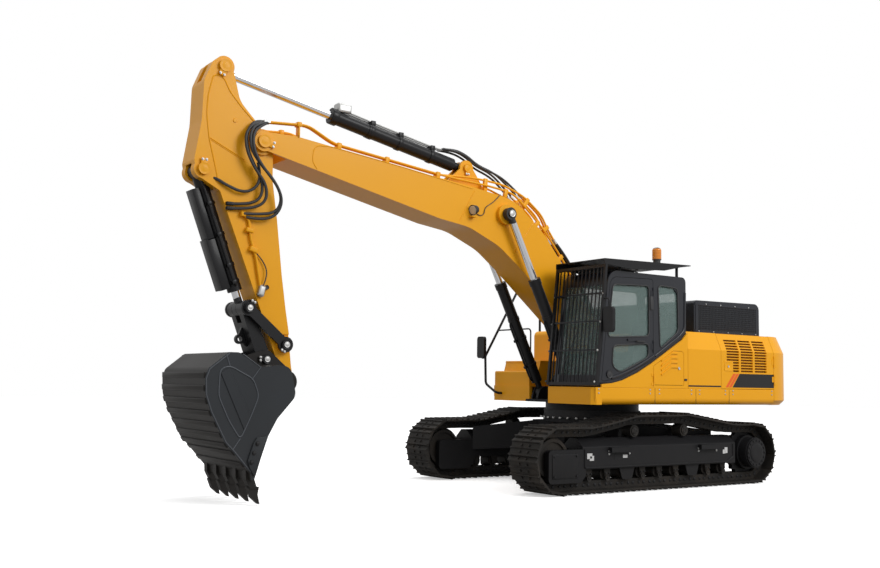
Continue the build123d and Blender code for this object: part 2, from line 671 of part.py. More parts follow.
# Rear doors: the left one is slotted for the cooler, the right one plain with two small louvred fields
GRILLE_X = (-2430.0, -1420.0)
GRILLE_Z = (1716.0, 2262.0)
SLAT_PITCH = 43.0
DOOR_X = (SEAM + PANEL_GAP, MID_SEAM - PANEL_GAP / 2)
for tag, hand in (("left", 1), ("right", -1)):
    with BuildPart() as rear_door:
        with BuildSketch(cross(DOOR_X[0])):
            with BuildLine():
                hood_side(hand, top=2312)
            make_face()
        extrude(amount=DOOR_X[1] - DOOR_X[0])
        columns = 3
        wide = (GRILLE_X[1] - GRILLE_X[0]) / columns
        rows = int((GRILLE_Z[1] - GRILLE_Z[0]) / SLAT_PITCH)
        for row in range(rows):
            up = GRILLE_Z[0] + SLAT_PITCH * (row + 0.5)
            for column in range(columns):
                mid = GRILLE_X[1] - wide * (column + 0.5)
                length = wide - 42
                if column == 0 and up < 1900:
                    mid -= 75
                    length -= 150
                with BuildSketch(side(hand * SIDE_Y)):
                    with Locations((mid, up)):
                        Rectangle(length, SLAT_PITCH - 15)
                extrude(amount=140, both=True, mode=Mode.SUBTRACT)
        for up in REAR_HINGE_Z:
            add(hinge_half(Plane(origin=(SLEW_X + REAR_HINGE_X, hand * (SIDE_Y + HINGE_OUT), up), z_dir=(0, 0, 1)),
                           (LEAF_W, -hand * (HINGE_OUT + 1)), (0, -hand * (HINGE_OUT - LEAF_T)), moving=True))
    write(rear_door, f"rear_door_{tag}")

# Flat hood top with the opening of the raised engine hood
ENGINE_HOOD_X = (-2550.0, -980.0)
ENGINE_HOOD_Y = (-1000.0, 1250.0)
HOOD_T = 30.0
HOOD_AXIS = (ENGINE_HOOD_X[0] - HINGE_R - 1, HOOD_TOP + HINGE_R + 1)
HOOD_HINGE_Y = (-600.0, 850.0)
HOOD_HALF = SIDE_Y - LEAN - PANEL_T - PANEL_GAP
with BuildPart() as hood_top:
    with BuildSketch(level(HOOD_TOP - HOOD_T)):
        with BuildLine():
            Polyline((SEAM + PANEL_GAP, -HOOD_HALF), (TANK_X[0] - PANEL_GAP, -HOOD_HALF),
                     (TANK_X[0] - PANEL_GAP, -590), (CAB_SEAM, -590), (CAB_SEAM, HOOD_HALF),
                     (SEAM + PANEL_GAP, HOOD_HALF), close=True)
        make_face()
        with Locations(((ENGINE_HOOD_X[0] + ENGINE_HOOD_X[1]) / 2, (ENGINE_HOOD_Y[0] + ENGINE_HOOD_Y[1]) / 2)):
            Rectangle(ENGINE_HOOD_X[1] - ENGINE_HOOD_X[0] - 140, ENGINE_HOOD_Y[1] - ENGINE_HOOD_Y[0] - 140,
                      mode=Mode.SUBTRACT)
    extrude(amount=HOOD_T)
    # bulkhead behind the cab
    with BuildSketch(cross(CAB_SEAM - 40)):
        with BuildLine():
            Polyline((-590, DECK_TOP + SEAT), (SIDE_Y - PANEL_T - 8, DECK_TOP + SEAT),
                     (SIDE_Y - PANEL_T - 8, HOOD_SHOULDER - 10), (SIDE_Y - LEAN - PANEL_T - 8, HOOD_TOP - 20),
                     (-590, HOOD_TOP - 20), close=True)
        make_face()
    extrude(amount=25)
    with BuildSketch(cross(CAB_SEAM - 45)):
        with Locations((0, 1720)):
            Rectangle(2 * (MAIN_PLATE_Y + MAIN_PLATE_T / 2 + SIDE_GAP), 560)
    extrude(amount=40, mode=Mode.SUBTRACT)
    for y_at in HOOD_HINGE_Y:
        add(hinge_half(Plane(origin=(SLEW_X + HOOD_AXIS[0], y_at, HOOD_AXIS[1]), x_dir=(1, 0, 0), z_dir=(0, -1, 0)),
                       (-18, -HINGE_R - 2), (0, LEAF_T - HINGE_R - 2), moving=False))
write(hood_top, "hood_top")

# Raised engine hood: a thin-walled dark box, open below, its sides pierced
ENGINE_HOOD_TOP = 2850.0
with BuildPart() as engine_hood:
    # outline seen from the left: forward, up, corner radius
    with BuildSketch(side(ENGINE_HOOD_Y[0])):
        with BuildLine():
            rounded([(ENGINE_HOOD_X[0], HOOD_TOP + SEAT, 0), (ENGINE_HOOD_X[1], HOOD_TOP + SEAT, 0),
                     (ENGINE_HOOD_X[1], ENGINE_HOOD_TOP - 20, 70), (ENGINE_HOOD_X[0], ENGINE_HOOD_TOP, 110)])
        make_face()
    extrude(amount=-(ENGINE_HOOD_Y[1] - ENGINE_HOOD_Y[0]))
    with BuildSketch(side(ENGINE_HOOD_Y[0] + 20)):
        with BuildLine():
            rounded([(ENGINE_HOOD_X[0] + 20, HOOD_TOP, 0), (ENGINE_HOOD_X[1] - 20, HOOD_TOP, 0),
                     (ENGINE_HOOD_X[1] - 20, ENGINE_HOOD_TOP - 40, 50),
                     (ENGINE_HOOD_X[0] + 20, ENGINE_HOOD_TOP - 20, 90)])
        make_face()
    extrude(amount=-(ENGINE_HOOD_Y[1] - ENGINE_HOOD_Y[0] - 40), mode=Mode.SUBTRACT)
    for y_at in HOOD_HINGE_Y:
        add(hinge_half(Plane(origin=(SLEW_X + HOOD_AXIS[0], y_at, HOOD_AXIS[1]), x_dir=(1, 0, 0), z_dir=(0, -1, 0)),
                       (HINGE_R - LEAF_T, 0), (HINGE_R + 2, LEAF_W), moving=True))
write(engine_hood, "engine_hood")

ENGINE_H = 690.0
with BuildPart(HOME) as engine:
    with Locations((-1830, 30, ENGINE_SEAT + SEAT + ENGINE_H / 2)):
        Box(850, 1300, ENGINE_H)
write(engine, "engine")

# Right side: tanks behind, toolbox with a sloping lid in front
TANK_Y = (-SIDE_Y, -600.0)
TANK_TOP = 2390.0
with BuildPart() as tanks:
    for x_rear, x_front, top in ((TANK_X[0], -560.0, TANK_TOP - 30), (-552.0, TANK_X[1], TANK_TOP)):
        with BuildSketch(side(TANK_Y[1])):
            with BuildLine():
                rounded([(x_rear, DECK_TOP + SEAT, 0), (x_front, DECK_TOP + SEAT, 0), (x_front, top, 90),
                         (x_rear, top, 30)])
            make_face()
        extrude(amount=TANK_Y[1] - TANK_Y[0])
        with BuildSketch(level(top - 5)):
            with Locations(((x_rear + x_front) / 2, -1150)):
                Circle(95)
        extrude(amount=50)
write(tanks, "tanks")

BOX_Y = (-1450.0, -560.0)
BOX_REAR = -40.0
BOX_TOP = 1834.0
LEDGE_TOP = 1690.0
LID_T = 27.0
LID_AXIS = (BOX_REAR, BOX_TOP + LID_T + 3)
LID_HINGE_Y = (-1200.0, -800.0)
with BuildPart() as toolbox:
    with BuildSketch(side(BOX_Y[1])):
        with BuildLine():
            rounded([(BOX_REAR, DECK_TOP + SEAT, 0), (830, DECK_TOP + SEAT, 0), (830, LEDGE_TOP, 25), (640, LEDGE_TOP, 0),
                     (600, BOX_TOP, 0), (BOX_REAR, BOX_TOP, 0)])
        make_face()
    extrude(amount=BOX_Y[1] - BOX_Y[0])
    with BuildSketch(side(BOX_Y[1] - 25)):
        with BuildLine():
            Polyline((0, DECK_TOP + 25), (575, DECK_TOP + 25), (575, BOX_TOP + 16), (0, BOX_TOP + 16), close=True)
        make_face()
    extrude(amount=BOX_Y[1] - BOX_Y[0] - 50, mode=Mode.SUBTRACT)
    for y_at in LID_HINGE_Y:
        add(hinge_half(Plane(origin=(SLEW_X + LID_AXIS[0], y_at, LID_AXIS[1]), x_dir=(1, 0, 0), z_dir=(0, -1, 0)),
                       (-HINGE_R, -LEAF_W), (2, 0), moving=False))
write(toolbox, "toolbox")

with BuildPart() as toolbox_lid:
    with BuildSketch(side(BOX_Y[1] + 4)):
        with BuildLine():
            rounded([(LID_AXIS[0] + HINGE_R + 2, BOX_TOP + SEAT, 0), (606, BOX_TOP + SEAT, 0),
                     (600, BOX_TOP + LID_T, 10), (LID_AXIS[0] + HINGE_R + 2, BOX_TOP + LID_T, 4)])
        make_face()
    extrude(amount=BOX_Y[1] - BOX_Y[0] + 8)
    for y_at in LID_HINGE_Y:
        add(hinge_half(Plane(origin=(SLEW_X + LID_AXIS[0], y_at, LID_AXIS[1]), x_dir=(1, 0, 0), z_dir=(0, -1, 0)),
                       (0, -4), (LEAF_W, 2), moving=True))
write(toolbox_lid, "toolbox_lid")

# Cab: a hollow shell with leaning windscreen, pillars and cut windows
# Outline seen from the left: forward, up, corner radius
SCREEN_LOW = (1240.0, 1510.0)
SCREEN_HIGH = (1048.0, CAB_ROOF)
SCREEN_LEAN = (SCREEN_LOW[0] - SCREEN_HIGH[0]) / (SCREEN_HIGH[1] - SCREEN_LOW[1])
CAB_REAR = -550.0


def screen_x(height, inset=0.0):
    """Forward position of the windscreen plane at a height, set back by inset."""
    return SCREEN_LOW[0] - (height - SCREEN_LOW[1]) * SCREEN_LEAN - inset


CAB_OUTLINE = [(1235, CAB_FLOOR, 0), (*SCREEN_LOW, 30), (*SCREEN_HIGH, 190), (CAB_REAR, CAB_ROOF, 80),
               (CAB_REAR, CAB_FLOOR, 0)]
# Windows and the door opening, seen from the left
DOOR_EDGE = [(150, 1872, 40), (810, 1592, 300), (screen_x(1530, 42), 1530, 40),
             (screen_x(3040, 42), 3040, 150), (150, 3060, 50)]
UPPER_WINDOW = [(240, 2210, 25), (screen_x(2150, 92), 2165, 25), (screen_x(2920, 102), 2930, 110),
                (240, 2955, 60)]
LOWER_WINDOW = [(250, 1905, 50), (830, 1668, 60), (985, 1760, 60), (965, 2055, 50), (250, 2105, 30)]
QUARTER_WINDOW = [(10, 2030, 25), (50, 2975, 40), (-370, 2960, 170), (-385, 2305, 60)]
RIGHT_WINDOW = [(-480, 2060, 80), (screen_x(1700, 110), 1700, 80), (screen_x(2950, 110), 2950, 110),
                (-480, 2950, 80)]
GLASS_T = 8.0
FLOOR_SEAM = CAB_FLOOR + CAB_WALL
ROOF_SEAM = DOOR_EDGE[-1][1] + 5
CAB_HINGE = (DOOR_EDGE[0][0] + PANEL_GAP / 2, CAB_Y[1] + HINGE_OUT)
CAB_HINGE_Z = (2060.0, 2840.0)


with BuildPart() as whole_cab:
    with BuildSketch(side(CAB_Y[0])):
        with BuildLine():
            rounded(CAB_OUTLINE)
        make_face()
    extrude(amount=-(CAB_Y[1] - CAB_Y[0]))
    with BuildSketch(side(CAB_Y[0] + CAB_WALL)):
        with BuildLine():
            rounded(CAB_OUTLINE)
        make_face()
        offset(amount=-CAB_WALL, mode=Mode.REPLACE)
    extrude(amount=-(CAB_Y[1] - CAB_Y[0] - 2 * CAB_WALL), mode=Mode.SUBTRACT)
    # door opening and rear quarter window on the left
    for table in (DOOR_EDGE, QUARTER_WINDOW):
        with BuildSketch(side(CAB_Y[1] - CAB_WALL - 1)):
            with BuildLine():
                rounded(table)
            make_face()
        extrude(amount=-CAB_WALL - 2, mode=Mode.SUBTRACT)
    with BuildSketch(side(CAB_Y[0] - 1)):
        with BuildLine():
            rounded(RIGHT_WINDOW)
        make_face()
    extrude(amount=-CAB_WALL - 2, mode=Mode.SUBTRACT)
    # windscreen, rear window and roof hatch
    with BuildSketch(cross(CAB_REAR - 20)):
        with Locations((sum(CAB_Y) / 2, 2640)):
            RectangleRounded(CAB_Y[1] - CAB_Y[0] - 240, 520, 60)
    extrude(amount=100, mode=Mode.SUBTRACT)
    with BuildSketch(cross(900)):
        with Locations((sum(CAB_Y) / 2, 2275)):
            Rectangle(CAB_Y[1] - CAB_Y[0] - 130, 1290)
    extrude(amount=400, mode=Mode.SUBTRACT)
    with BuildSketch(level(CAB_ROOF - 80)):
        with Locations((350, sum(CAB_Y) / 2)):
            RectangleRounded(520, 560, 50)
    extrude(amount=120, mode=Mode.SUBTRACT)

with BuildPart() as cab_shell:
    add(whole_cab.part)
    add(slab(FLOOR_SEAM, ROOF_SEAM), mode=Mode.INTERSECT)
    for up in CAB_HINGE_Z:
        add(hinge_half(Plane(origin=(SLEW_X + CAB_HINGE[0], CAB_HINGE[1], up), z_dir=(0, 0, 1)),
                       (-LEAF_W, -HINGE_OUT - 1), (0, LEAF_T - HINGE_OUT), moving=False))
write(cab_shell, "cab_shell")

# Floor on its four rubber mounts, and the roof panel with the hatch
with BuildPart() as cab_floor:
    add(whole_cab.part)
    add(slab(CAB_FLOOR, FLOOR_SEAM - SEAT), mode=Mode.INTERSECT)
    for x_at in (-450, 1120):
        for y_at in (CAB_Y[0] + 120, CAB_Y[1] - 140):
            with BuildSketch(level(DECK_TOP + SEAT)):
                with Locations((x_at, y_at)):
                    Circle(60)
            extrude(amount=CAB_FLOOR - DECK_TOP)
write(cab_floor, "cab_floor")

with BuildPart() as cab_roof:
    add(whole_cab.part)
    add(slab(ROOF_SEAM + SEAT, CAB_ROOF), mode=Mode.INTERSECT)
write(cab_roof, "cab_roof")

with BuildPart() as cab_glass:
    for table, y_at in ((QUARTER_WINDOW, CAB_Y[1] - 22), (RIGHT_WINDOW, CAB_Y[0] + 22)):
        with BuildSketch(side(y_at)):
            with BuildLine():
                rounded(table)
            make_face()
            offset(amount=-SEAT, mode=Mode.REPLACE)
        extrude(amount=GLASS_T / 2, both=True)
    with BuildSketch(cross(CAB_REAR + 24)):
        with Locations((sum(CAB_Y) / 2, 2640)):
            RectangleRounded(CAB_Y[1] - CAB_Y[0] - 240 - 2 * SEAT, 520 - 2 * SEAT, 60)
    extrude(amount=GLASS_T)
    # windscreen in two panes
    for low, high in ((1630 + SEAT, 2030), (2034, 2920 - SEAT)):
        with BuildSketch(side(CAB_Y[0] + 65 + SEAT)):
            with BuildLine():
                Polyline((screen_x(low, 20), low), (screen_x(high, 20), high), (screen_x(high, 28), high),
                         (screen_x(low, 28), low), close=True)
            make_face()
        extrude(amount=-(CAB_Y[1] - CAB_Y[0] - 130 - 2 * SEAT))
    with BuildSketch(level(CAB_ROOF - 30)):
        with Locations((350, sum(CAB_Y) / 2)):
            RectangleRounded(520 - 2 * SEAT, 560 - 2 * SEAT, 50)
    extrude(amount=GLASS_T)
write(cab_glass, "cab_glass")

with BuildPart() as cab_door:
    with BuildSketch(side(CAB_Y[1] - CAB_WALL + 8)):
        with BuildLine():
            rounded(DOOR_EDGE)
        make_face()
        offset(amount=-PANEL_GAP, mode=Mode.REPLACE)
        for table in (UPPER_WINDOW, LOWER_WINDOW):
            with BuildLine():
                rounded(table)
            make_face(mode=Mode.SUBTRACT)
    extrude(amount=-CAB_WALL + 8)
    # handle on the bar between the windows
    with BuildSketch(side(CAB_Y[1] - 4)):
        with Locations((610, 2142)):
            RectangleRounded(150, 34, 12)
    extrude(amount=-22)
    for up in CAB_HINGE_Z:
        add(hinge_half(Plane(origin=(SLEW_X + CAB_HINGE[0], CAB_HINGE[1], up), z_dir=(0, 0, 1)),
                       (LEAF_W, -HINGE_OUT - 1), (0, LEAF_T - HINGE_OUT), moving=True))
write(cab_door, "cab_door")

with BuildPart() as door_glass:
    for table in (UPPER_WINDOW, LOWER_WINDOW):
        with BuildSketch(side(CAB_Y[1] - 22)):
            with BuildLine():
                rounded(table)
            make_face()
            offset(amount=-SEAT, mode=Mode.REPLACE)
        extrude(amount=GLASS_T / 2, both=True)
write(door_glass, "door_glass")

with BuildPart(HOME) as seat:
    with Locations((120, 985, CAB_FLOOR + CAB_WALL + 110 + SEAT)):
        Box(420, 420, 220)
    with Locations((150, 985, CAB_FLOOR + CAB_WALL + 285)):
        Box(520, 520, 140)
    with Locations(Location((-130, 985, CAB_FLOOR + CAB_WALL + 640), (0, -12, 0))):
        Box(130, 500, 640)
    with Locations(Location((-200, 985, CAB_FLOOR + CAB_WALL + 1030), (0, -12, 0))):
        Box(100, 280, 200)
write(seat, "seat")

with BuildPart(HOME) as console:
    for hand in (1, -1):
        with Locations((160, 985 + hand * 335, CAB_FLOOR + CAB_WALL + 235 + SEAT)):
            Box(640, 110, 470)
        with Locations((430, 985 + hand * 335, CAB_FLOOR + CAB_WALL + 560)):
            Cylinder(24, 200)
        with Locations((900, 985 + hand * 90, CAB_FLOOR + CAB_WALL + 300 + SEAT)):
            Cylinder(14, 600)
write(console, "console")

# Guards round the cab, each as fine bars in a frame
GUARD_LOW = (1372.0, 1478.0)
GUARD_HIGH = (1196.0, 3190.0)
GUARD_Y = (538.0, 1560.0)
BARS = 12
BAR = 16.0
MIRROR = (190.0, 360.0)     # width and height of each mirror


def guard_x(height):
    """Forward position of the front guard's plane at a height."""
    share = (height - GUARD_LOW[1]) / (GUARD_HIGH[1] - GUARD_LOW[1])
    return GUARD_LOW[0] + share * (GUARD_HIGH[0] - GUARD_LOW[0])


with BuildPart() as front_guard:
    lean = along(GUARD_LOW, GUARD_HIGH)
    run = reach(GUARD_LOW, GUARD_HIGH)
    width = GUARD_Y[1] - GUARD_Y[0]
    # posts and bars stand in a leaning plane; rows: y, thickness
    posts = [(GUARD_Y[0], 40), (GUARD_Y[1], 40)]
    posts += [(GUARD_Y[0] + width * (n + 1) / (BARS + 1), BAR) for n in range(BARS)]
    for y_at, thick in posts:
        plane = Plane(origin=lean.origin + Vector(0, y_at, 0), x_dir=lean.x_dir, z_dir=lean.z_dir)
        with BuildSketch(plane):
            with Locations((run / 2, 0)):
                Rectangle(run, thick)
        extrude(amount=thick / 2, both=True)
    plane = Plane(origin=lean.origin + Vector(0, GUARD_Y[0], 0), x_dir=lean.x_dir, z_dir=lean.z_dir)
    for up, thick in ((20, 44), (500, 24), (910, 24), (1310, 24), (run - 20, 44)):
        with BuildSketch(plane):
            with Locations((up, 0)):
                Rectangle(thick, thick - 8)
        extrude(amount=-width)
    # stubs back to the cab's front pillars
    for up in (1975, 2780):
        for y_at in (GUARD_Y[0] + 5, CAB_Y[1] - 28):
            with BuildSketch(side(y_at)):
                with BuildLine():
                    Polyline((screen_x(up - 14, -SEAT), up - 14), (guard_x(up - 14), up - 14),
                             (guard_x(up + 14), up + 14), (screen_x(up + 14, -SEAT), up + 14), close=True)
                make_face()
            extrude(amount=14, both=True)
    # mirror on an arm from the left post
    add(pipe([(1240, GUARD_Y[1] + 10, 2700), (1250, 1680, 2700), (1250, 1690, 2560)], 11, [40]))
    with BuildSketch(cross(1232)):
        with Locations((1690, 2400)):
            RectangleRounded(*MIRROR, 50)
    extrude(amount=52)
write(front_guard, "front_guard")

ROOF_GUARD = ((1216.0, 3276.0), (-560.0, 3312.0))    # top of the plate: front and rear edge


def roof_guard_top(forward):
    """Height of the top guard's plate at a forward position."""
    (x_front, z_front), (x_rear, z_rear) = ROOF_GUARD
    return z_front + (x_front - forward) * (z_rear - z_front) / (x_front - x_rear)


with BuildPart() as top_guard:
    # plate over the roof: forward, up
    with BuildSketch(side(CAB_Y[0])):
        with BuildLine():
            Polyline((ROOF_GUARD[0][0], ROOF_GUARD[0][1] - 14), ROOF_GUARD[0], ROOF_GUARD[1],
                     (ROOF_GUARD[1][0], ROOF_GUARD[1][1] - 14), close=True)
        make_face()
    extrude(amount=-1050)
    for y_at in (CAB_Y[0] + 20, CAB_Y[0] + 1050):
        with BuildSketch(side(y_at)):
            with BuildLine():
                Polyline((ROOF_GUARD[0][0], 3196), ROOF_GUARD[0], ROOF_GUARD[1], (0, 3190), (700, 3160),
                         close=True)
            make_face()
        extrude(amount=20)
    for x_at in (-420, 780):
        for y_at in (CAB_Y[0] + 60, CAB_Y[1] - 60):
            with BuildSketch(level(CAB_ROOF + SEAT)):
                with Locations((x_at, y_at)):
                    Circle(22)
            extrude(amount=150)
write(top_guard, "top_guard")

with BuildPart() as beacon:
    with BuildSketch(level(roof_guard_top(-55) + SEAT)):
        with Locations((0, 1400)):
            Circle(55)
    extrude(amount=66)
    with BuildSketch(level(3360)):
        with Locations((0, 1400)):
            Circle(68)
    extrude(amount=190)
    fillet(beacon.edges().group_by(Axis.Z)[-1], 50)
write(beacon, "beacon")

# Handrail at the right front corner with its mirror
RAIL_R = 20.0
with BuildPart() as handrail:
    add(pipe([(FRONT_RIGHT + SEAT, -1250, 1330), (950, -1250, 1330), (1000, -1480, 1480), (1000, -1500, 1930),
              (750, -1500, 2350), (280, -1500, 3140), (-150, -1470, 3140), (-150, -1470, TANK_TOP + SEAT)],
             RAIL_R, [60, 90, 90, 90, 90, 90]))
    add(pipe([(740, -1500, 2372), (740, -640, 2372), (740, -640, LEDGE_TOP + SEAT)], 12, [60]))
    with BuildSketch(cross(985)):
        with Locations((-1590, 2080)):
            RectangleRounded(*MIRROR, 50)
    extrude(amount=52)
    add(pipe([(1000, -1500, 1900), (1010, -1590, 1900), (1010, -1590, 1960)], 11, [25]))
write(handrail, "handrail")


# Boom: one long weldment, a fork at its end for the arm, lugs for the arm cylinder on top
# Outline: forward, up, corner radius
BOOM_OUTLINE = [
    (30, 2290, 0), (910, 3340, 300), (1250, 3740, 700), (1840, 4210, 900), (2680, 4320, 900), (3200, 4370, 0),
    (5450, 4620, 300), (5905, 4612, 0), (5960, 4370, 0), (5850, 4370, 0), (3190, 3790, 900), (2670, 3720, 900),
    (2120, 3490, 900), (1740, 3210, 900), (285, 2030, 0),
]
FORK_R = 382.0
FORK_HALF = 255.0
FORK_OUT = 302.0
FOOT_R = 180.0
END_R = 128.0
EYE_HALF = 60.0
ARM_EYE_R = 105.0
EAR_T = 40.0
EAR_IN = EYE_HALF + SIDE_GAP
with BuildPart() as boom:
    with BuildSketch(side()):
        with BuildLine():
            rounded(BOOM_OUTLINE)
        make_face()
    extrude(amount=BOOM_HALF, both=True)
    with BuildSketch(side()):
        with Locations(BOOM_FOOT):
            Circle(FOOT_R)
    extrude(amount=FOOT_HALF, both=True)
    with BuildSketch(side()):
        with Locations(BOOM_END):
            Circle(END_R)
    extrude(amount=FORK_OUT, both=True)
    with BuildSketch(side()):
        with Locations(BOOM_END):
            Circle(FORK_R)
    extrude(amount=FORK_HALF, both=True, mode=Mode.SUBTRACT)
    # bosses of the boom cylinders' rod eyes
    with BuildSketch(side()):
        with Locations(BOOM_CYL_PIN):
            Circle(150)
    extrude(amount=CYL_Y - 53 - SIDE_GAP, both=True)
    # lugs of the arm cylinder
    for hand in (1, -1):
        with BuildSketch(side(hand * (EAR_IN + EAR_T / 2))):
            with BuildLine():
                rounded([(2180, 4200, 0), (2440, 4560, 60), (2600, 4760, 110), (2720, 4600, 60),
                         (3000, 4330, 0)])
            make_face()
            with Locations(ARM_CYL_FOOT):
                Circle(118)
        extrude(amount=EAR_T / 2, both=True)
    # pins that stay in the boom: at, radius, half length
    for at, radius, half in ((BOOM_FOOT, PIN_R, 385), (BOOM_END, PIN_R, FORK_OUT + 8),
                             (ARM_CYL_FOOT, PIN_R - 5, EAR_IN + EAR_T + 12)):
        with BuildSketch(side()):
            with Locations(at):
                Circle(radius)
        extrude(amount=half, both=True)
write(boom, "boom")


# Cylinders: a barrel with its foot eye, a rod with its own eye; the two boom cylinders are alike
# rows: name, foot pin, rod pin, offsets y, barrel radius, rod radius, barrel start and end, rod tail,
# eye radius, eye half width
CYLINDERS = [
    ("boom_cylinder", BOOM_CYL_FOOT, BOOM_CYL_PIN, (CYL_Y, -CYL_Y), 84, 53, 205, 1890, 1090, 92, CYL_HALF),
    ("arm_cylinder", ARM_CYL_FOOT, ARM_CYL_PIN, (0,), 95, 58, 205, 2270, 1600, ARM_EYE_R,
     EYE_HALF),
    ("bucket_cylinder", BUCKET_CYL_FOOT, LINK_PIN, (0,), 85, 52, 90, 1560, 480, 95, 84),
]
CYL_PIN_R = PIN_R - 5
for name, foot, tip, offsets, barrel_r, rod_r, start, length, tail, eye_r, half in CYLINDERS:
    line = along(foot, tip)
    whole = reach(foot, tip)
    rod_half = min(half, EYE_HALF)
    with BuildPart() as barrel:
        for y_at in offsets:
            ahead = Plane(origin=line.origin + Vector(0, y_at, 0), x_dir=(0, 1, 0), z_dir=line.x_dir)
            across = Plane(origin=line.origin + Vector(0, y_at, 0), x_dir=line.x_dir, z_dir=line.z_dir)
            with BuildSketch(ahead.offset(eye_r - 45)):
                Circle(half - 2)
            extrude(amount=start - eye_r + 60)
            with BuildSketch(ahead.offset(start)):
                Circle(barrel_r)
            extrude(amount=length - start)
            with BuildSketch(across):
                Circle(eye_r)
            extrude(amount=half, both=True)
            # gland and one band; rows: where from the foot, length
            for where, wide in ((length - 90, 90), (length - 640, 50)):
                with BuildSketch(ahead.offset(where)):
                    Circle(barrel_r + 8)
                extrude(amount=wide)
            # bore of the rod, blind towards the foot
            with BuildSketch(ahead.offset(start + 30)):
                Circle(rod_r + PIN_GAP)
            extrude(amount=length, mode=Mode.SUBTRACT)
            with BuildSketch(across):
                Circle(CYL_PIN_R + PIN_GAP)
            extrude(amount=half + 5, both=True, mode=Mode.SUBTRACT)
    write(barrel, f"{name}_barrel")
    with BuildPart() as rod:
        for y_at in offsets:
            ahead = Plane(origin=line.origin + Vector(0, y_at, 0), x_dir=(0, 1, 0), z_dir=line.x_dir)
            across = Plane(origin=line.origin + Vector(0, y_at, 0), x_dir=line.x_dir, z_dir=line.z_dir)
            with BuildSketch(ahead.offset(tail)):
                Circle(rod_r)
            extrude(amount=whole - tail)
            with BuildSketch(across):
                with Locations((whole, 0)):
                    Circle(eye_r)
            extrude(amount=rod_half, both=True)
    write(rod, f"{name}_rod")

# Arm: tapering box between the boom's end and the bucket, slotted for the eyes of both cylinders
ARM_OUTLINE = [
    (6330, 5400, 60), (6560, 5480, 100), (6690, 5150, 200), (6700, 4650, 500), (6775, 4150, 40),
    (6740, 3960, 60), (6430, 3800, 60), (5586, 1742, 0), (5585, 1500, 60), (5460, 1345, 100),
    (5345, 1480, 60), (5380, 1660, 60), (5430, 2050, 0), (5490, 2370, 0), (5560, 2810, 0), (5650, 3510, 300),
    (5730, 4010, 300), (5740, 4470, 120), (6000, 4760, 200), (6210, 4970, 300), (6300, 5310, 60),
]
TIP_HALF = 188.0
TIP_TOP = 2060.0
ARM_BOSS_R = 165.0
ARM_BOSS_HALF = FORK_HALF - SIDE_GAP
ROCKER_IN = ARM_HALF + 12
ROCKER_T = 40.0
ROD_SAG = 94.0           # how far the arm cylinder's rod eye travels down into its slot
SLOT_BOTTOM = ARM_CYL_PIN[1] - ARM_EYE_R - ROD_SAG - SIDE_GAP
with BuildPart() as arm:
    with BuildSketch(side()):
        with BuildLine():
            rounded(ARM_OUTLINE)
        make_face()
    extrude(amount=ARM_HALF, both=True)
    # narrower tip, between the bucket's ears
    for hand in (1, -1):
        with BuildSketch(side(hand * (TIP_HALF + 25))):
            with Locations((5460, (TIP_TOP + 1200) / 2)):
                Rectangle(700, TIP_TOP - 1200)
        extrude(amount=25, both=True, mode=Mode.SUBTRACT)
    # bosses: at, radius, half width
    for at, radius, half in ((BOOM_END, ARM_BOSS_R, ARM_BOSS_HALF), (ARM_CYL_PIN, 130, ARM_HALF),
                             (BUCKET_CYL_FOOT, 120, ARM_HALF), (ROCKER_PIN, 100, ROCKER_IN - 4),
                             (BUCKET_PIN, 118, TIP_HALF)):
        with BuildSketch(side()):
            with Locations(at):
                Circle(radius)
        extrude(amount=half, both=True)
    # slots for the rod eye above and the bucket cylinder's foot below
    with BuildSketch(side()):
        with BuildLine():
            Polyline((6100, SLOT_BOTTOM), (6900, SLOT_BOTTOM), (6900, 5700), (6100, 5700), close=True)
        make_face()
        with Locations(ARM_CYL_PIN):
            Circle(135)
    extrude(amount=EAR_IN + 4, both=True, mode=Mode.SUBTRACT)
    with BuildSketch(side()):
        with Locations(BUCKET_CYL_FOOT):
            Circle(125)
        with BuildLine():
            Polyline((6540, 4120), (6900, 4120), (6900, 3700), (6440, 3700), close=True)
        make_face()
    extrude(amount=95, both=True, mode=Mode.SUBTRACT)
    # bores for pins of the neighbours, pins of its own: at, radius, half length
    for at in (BOOM_END, BUCKET_PIN):
        with BuildSketch(side()):
            with Locations(at):
                Circle(PIN_R + PIN_GAP)
        extrude(amount=400, both=True, mode=Mode.SUBTRACT)
    for at, radius, half in ((BUCKET_CYL_FOOT, PIN_R - 5, ARM_HALF + 20),
                             (ROCKER_PIN, PIN_R - 5, ROCKER_IN + ROCKER_T + 12)):
        with BuildSketch(side()):
            with Locations(at):
                Circle(radius)
        extrude(amount=half, both=True)
write(arm, "arm")

# Bucket linkage: two rocker bars outside the arm, an H-shaped link between them and the bucket
with BuildPart() as rocker:
    bar = along(ROCKER_PIN, LINK_PIN)
    length = reach(ROCKER_PIN, LINK_PIN)
    for hand in (1, -1):
        plane = Plane(origin=bar.origin + Vector(0, hand * (ROCKER_IN + ROCKER_T / 2), 0),
                      x_dir=bar.x_dir, z_dir=bar.z_dir)
        with BuildSketch(plane):
            Circle(100)
            with Locations((length, 0)):
                Circle(100)
            with Locations((length / 2, 0)):
                Rectangle(length, 130)
            Circle(PIN_R - 5 + PIN_GAP, mode=Mode.SUBTRACT)
        extrude(amount=ROCKER_T / 2, both=True)
        with BuildSketch(plane.offset(-hand * ROCKER_T / 2)):
            with Locations((length, 0)):
                Circle(70)
        extrude(amount=-hand * 22)
write(rocker, "rocker")

